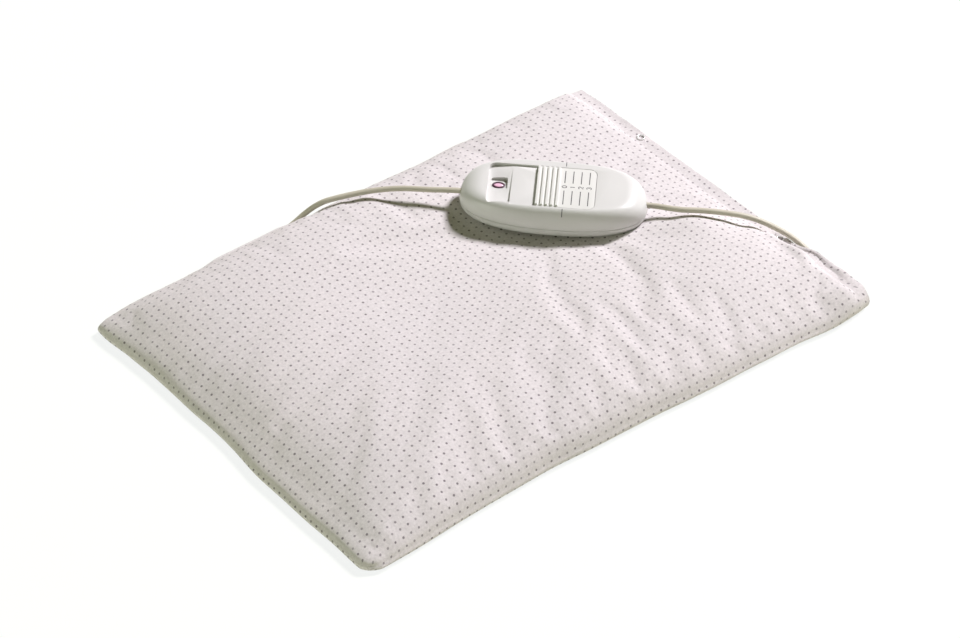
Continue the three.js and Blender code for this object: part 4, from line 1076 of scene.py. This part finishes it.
# Slider: plate, leg and grip ribs
SLIDE_LEFT, SLIDE_RIGHT, SLIDE_LOW, SLIDE_TOP = -11.8, 27.2, 21.3, 22.4
SLIDE_NEAR, SLIDE_FAR = TRACK_NEAR + 0.3, TRACK_FAR - 0.3
LEG = (5.0, 10.4, -3, 3, 14.5, 21.8)
RIBS, RIB_PITCH, RIB_INSET = 5, 3.3, 0.8
RIB_PROFILE = ((0, -0.5), (2.1, -0.5), (1.7, 1.3), (0.3, 1.3))
slide_plan = rounded_end(SLIDE_LEFT, SLIDE_RIGHT, SLIDE_NEAR, SLIDE_FAR, 5.0)
thumb = new_mesh("slider_plate", *slab(slide_plan, SLIDE_LOW, SLIDE_TOP))
carve(thumb, block(*LEG), "UNION")
for k in range(RIBS):
    left = SLIDE_LEFT + k * RIB_PITCH
    ends = (SLIDE_FAR - RIB_INSET, SLIDE_NEAR + RIB_INSET)
    carve(thumb, loft([[(left + a, y, SLIDE_TOP + b) for a, b in RIB_PROFILE] for y in ends]), "UNION")
moulded(thumb, 0.32, 3, 40)
belongs(thumb, SLIDE, SLIDER, "slider", "slider")

# Printed scale: ink lies a little proud of the plastic and reaches into it
INK_PROUD, INK_DEEP = 0.03, 0.12
STEPS = (6.6, 12.0, 17.4, 22.8)
SCALE_LINES = ((2.6, 14.8), (-5.0, -18.8))
LINE_STROKE, DIGIT_STROKE, INDEX_STROKE = 0.58, 0.52, 0.5
DIGIT_SCALE, DIGIT_AT = (1.7, 1.4), -1.2
INDEX_MARKS = ((19.4, 25.2), (-23.4, -26.8))
# Strokes of the digits 0 to 3, as (points, closed)
DIGITS = (
    [(ellipse(0, 0, 0.62, 1.05, 24), True)],
    [([(-0.35, 0.72), (0.08, 1.05), (0.08, -1.05)], False)],
    [(arc(0, 0.45, 0.6, 0.6, 170, -40, 14) + [(-0.62, -1.05), (0.64, -1.05)], False)],
    [
        (arc(-0.05, 0.5, 0.55, 0.55, 150, -80, 12), False),
        (arc(-0.05, -0.47, 0.62, 0.58, 80, -150, 12), False),
    ],
)


def ribbon(points, width, z, closed=False):
    """Flat stroke along plan points, as faces with a little thickness."""
    p = np.array(points, float)
    n = len(p)
    verts, faces = [], []
    for i in range(n):
        before = p[(i - 1) % n] if closed or i > 0 else p[i]
        after = p[(i + 1) % n] if closed or i + 1 < n else p[i]
        d = after - before
        d /= max(np.linalg.norm(d), 1e-9)
        side = np.array([-d[1], d[0]]) * width / 2
        for h in (z, z - INK_DEEP):
            verts += [(*(p[i] + side), h), (*(p[i] - side), h)]
    for i in range(n if closed else n - 1):
        a, b = 4 * i, 4 * ((i + 1) % n)
        faces += [(a, a + 1, b + 1, b), (a, b, b + 2, a + 2), (a + 1, a + 3, b + 3, b + 1)]
    if not closed:
        faces += [(0, 2, 3, 1), (4 * n - 4, 4 * n - 3, 4 * n - 1, 4 * n - 2)]
    return verts, faces


def surface_height(obj, x, y):
    """Top of a placed controller piece over a point of the controller's own plan."""
    start = Vector(local(x, y, 60) * MM)
    down = Vector(BOX_TURN @ np.array([0, 0, -1.0]))
    hit, place_hit, _, _ = obj.ray_cast(start, down, distance=0.2)
    if not hit:
        return BOX_TOP
    return float((BOX_TURN.T @ (np.array(place_hit) / MM - BOX_AT))[2])


def draped(x, y0, y1, width, obj, count=12):
    """Stroke that follows the housing from y0 to y1."""
    verts, faces = [], []
    for y in np.linspace(y0, y1, count):
        z = surface_height(obj, x, y) + INK_PROUD
        for h in (z, z - INK_DEEP):
            verts += [(x + width / 2, y, h), (x - width / 2, y, h)]
    for i in range(count - 1):
        a, b = 4 * i, 4 * i + 4
        faces += [(a, b, b + 1, a + 1), (a, a + 2, b + 2, b), (a + 1, b + 1, b + 3, a + 3)]
    return verts, faces


def printed(name, strokes, body):
    """One piece of all strokes, which rides on a body."""
    verts, faces = [], []
    for v, f in strokes:
        base = len(verts)
        verts += v
        faces += [tuple(base + i for i in face) for face in f]
    obj = new_mesh(name, verts, faces)
    obj.data.materials.append(PRINT)
    place(obj)
    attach(obj, body)


marks = []
for x, strokes in zip(STEPS, DIGITS):
    for y0, y1 in SCALE_LINES:
        marks.append(ribbon([(x, y0), (x, y1)], LINE_STROKE, SLIDE_TOP + INK_PROUD))
    for points, closed in strokes:
        turned = [(x - DIGIT_SCALE[1] * b, DIGIT_AT + DIGIT_SCALE[0] * a) for a, b in points]
        marks.append(ribbon(turned, DIGIT_STROKE, SLIDE_TOP + INK_PROUD, closed))
printed("scale_print", marks, SLIDER)
printed("index_print", [draped(STEPS[0], y0, y1, INDEX_STROKE, upper) for y0, y1 in INDEX_MARKS], PAD)

# Lamp window: lens and its rim
LENS_HALF, LENS_RIM = (3.1, 1.8), 18.5
LENS_PROFILE = (
    (0.02, 15.3), (3.1, 15.3), (3.1, 18.6), (2.9, 18.8), (2.3, 18.92), (1.2, 19.0), (0.02, 19.02),
)
RIM_PROFILE = ((0.0, 0.0), (1.2, 0.0), (1.25, 0.35), (1.0, 0.62), (0.25, 0.62), (0.0, 0.4))
lens_rings = []
for r, z in LENS_PROFILE:
    lens_rings.append([(x, y, z) for x, y in ellipse(*LENS_AT, r, r * LENS_HALF[1] / LENS_HALF[0])])
lens = new_mesh("lens_cap", *loft(lens_rings), sharp=40)
place(lens)
belongs(lens, LENS, PAD, "lens", "lamp_lens")
lens_rim = new_mesh("lens_bezel", *hoop(RIM_PROFILE, (*LENS_AT, LENS_RIM), LENS_HALF, 48), sharp=50)
place(lens_rim)
belongs(lens_rim, RIM, PAD, "lens_rim", "lens_rim")

# Snaps on the hem of the open side
SNAP_X, SNAP_LOW = 195, 9.4
SNAPS_Y = (76, -65)
SNAP_PROFILE = (
    (2.1, 0.0), (3.0, 0.0), (3.0, 0.3), (2.9, 0.6), (2.7, 0.8), (2.45, 0.8), (2.2, 0.55), (2.1, 0.3),
)
for k, y in enumerate(SNAPS_Y, 1):
    snap = new_mesh(f"snap_cap_{k}", *hoop(SNAP_PROFILE, (SNAP_X, y, SNAP_LOW), (0, 0), 40), sharp=50)
    belongs(snap, STEEL, PAD, "snap_metal", f"snap_ring_{k}")

# The rest of the CAD pieces, by words in their names
OTHER_LOOKS = (
    (STEEL, ("snap_stud", "screw", "plug_pin")),
    (SPRING, ("detent_spring", "thermostat")),
    (BRASS, ("contact_bridge", "contact_rail", "fixed_contact")),
    (LEAD, ("plug_body", "pad_lead_grommet")),
    (BOARD, ("circuit_board",)),
    (GLASS, ("indicator_lamp",)),
    (WIRE, ("conductor", "heating_wire")),
    (DARK, ("switch_carriage", "resistor", "diode", "thermal_fuse", "hank_strap", "cord_clamp")),
)
for name, obj in nodes.items():
    looks = [look for look, words in OTHER_LOOKS if any(word in name for word in words)]
    if looks:
        obj.data.materials.clear()
        obj.data.materials.append(looks[0])
        soften(obj, 35)

# Floor and world: the plain background, which lights the object less than it shows
BACKGROUND = (0.985, 1.0, 0.998, 1)
FLOOR_HALF, FLOOR_Z = 6, -0.0006
FLOOR_GLOW, FLOOR_SHARE = 1.03, 0.84
WORLD_LIGHT = 0.072


def shown(tree):
    """1 for rays that show the background: from the camera, in a reflection or through glass."""
    path = add(tree, "LightPath")
    seen = math_node(tree, "MAXIMUM", path.outputs["Is Camera Ray"], path.outputs["Is Glossy Ray"])
    return math_node(tree, "MAXIMUM", seen, path.outputs["Is Transmission Ray"])


def mix_shaders(tree, share, first, second, output):
    both = add(tree, "MixShader")
    tree.links.new(share, both.inputs[0])
    tree.links.new(first.outputs[0], both.inputs[1])
    tree.links.new(second.outputs[0], both.inputs[2])
    tree.links.new(both.outputs[0], output.inputs[0])


def floor_material():
    made = bpy.data.materials.new("floor")
    made.use_nodes = True
    tree = made.node_tree
    tree.nodes.clear()
    output = add(tree, "OutputMaterial")
    diffuse = add(tree, "BsdfDiffuse")
    values(diffuse, Color=(0.92, 0.95, 0.8, 1))
    glow = add(tree, "Emission")
    values(glow, Color=BACKGROUND, Strength=FLOOR_GLOW)
    mix_shaders(tree, math_node(tree, "MULTIPLY", shown(tree), FLOOR_SHARE), diffuse, glow, output)
    return made


floor_mesh = bpy.data.meshes.new("floor")
floor_corners = [(x * FLOOR_HALF, y * FLOOR_HALF, FLOOR_Z) for x, y in ((-1, -1), (1, -1), (1, 1), (-1, 1))]
floor_mesh.from_pydata(floor_corners, [], [(0, 1, 2, 3)])
floor_mesh.materials.append(floor_material())
floor = new_object("floor", floor_mesh)

world = bpy.data.worlds.new("world")
scene.world = world
world.use_nodes = True
world_tree = world.node_tree
ambient = world_tree.nodes["Background"]
values(ambient, Color=(0.96, 0.98, 0.28, 1), Strength=WORLD_LIGHT)
white = add(world_tree, "Background")
values(white, Color=BACKGROUND, Strength=1.0)
mix_shaders(world_tree, shown(world_tree), ambient, white, world_tree.nodes["World Output"])


# Lights
def lamp(name, place_at, aim, size, power, colour):
    data = bpy.data.lights.new(name, "AREA")
    data.shape = "DISK"
    data.size = size
    data.energy = power
    data.color = colour
    stand(new_object(name, data), place_at, Vector(aim) - Vector(place_at))


lamp("key", (3.5, -0.2, 3.87), (0.02, 0, 0), 1.12, 382, (0.985, 0.94, 1.0))
lamp("fill", (-2.5, -0.1, 0.35), (0, 0, 0.02), 1.2, 20, (0.93, 1.0, 0.84))
scene.view_settings.view_transform = "Standard"
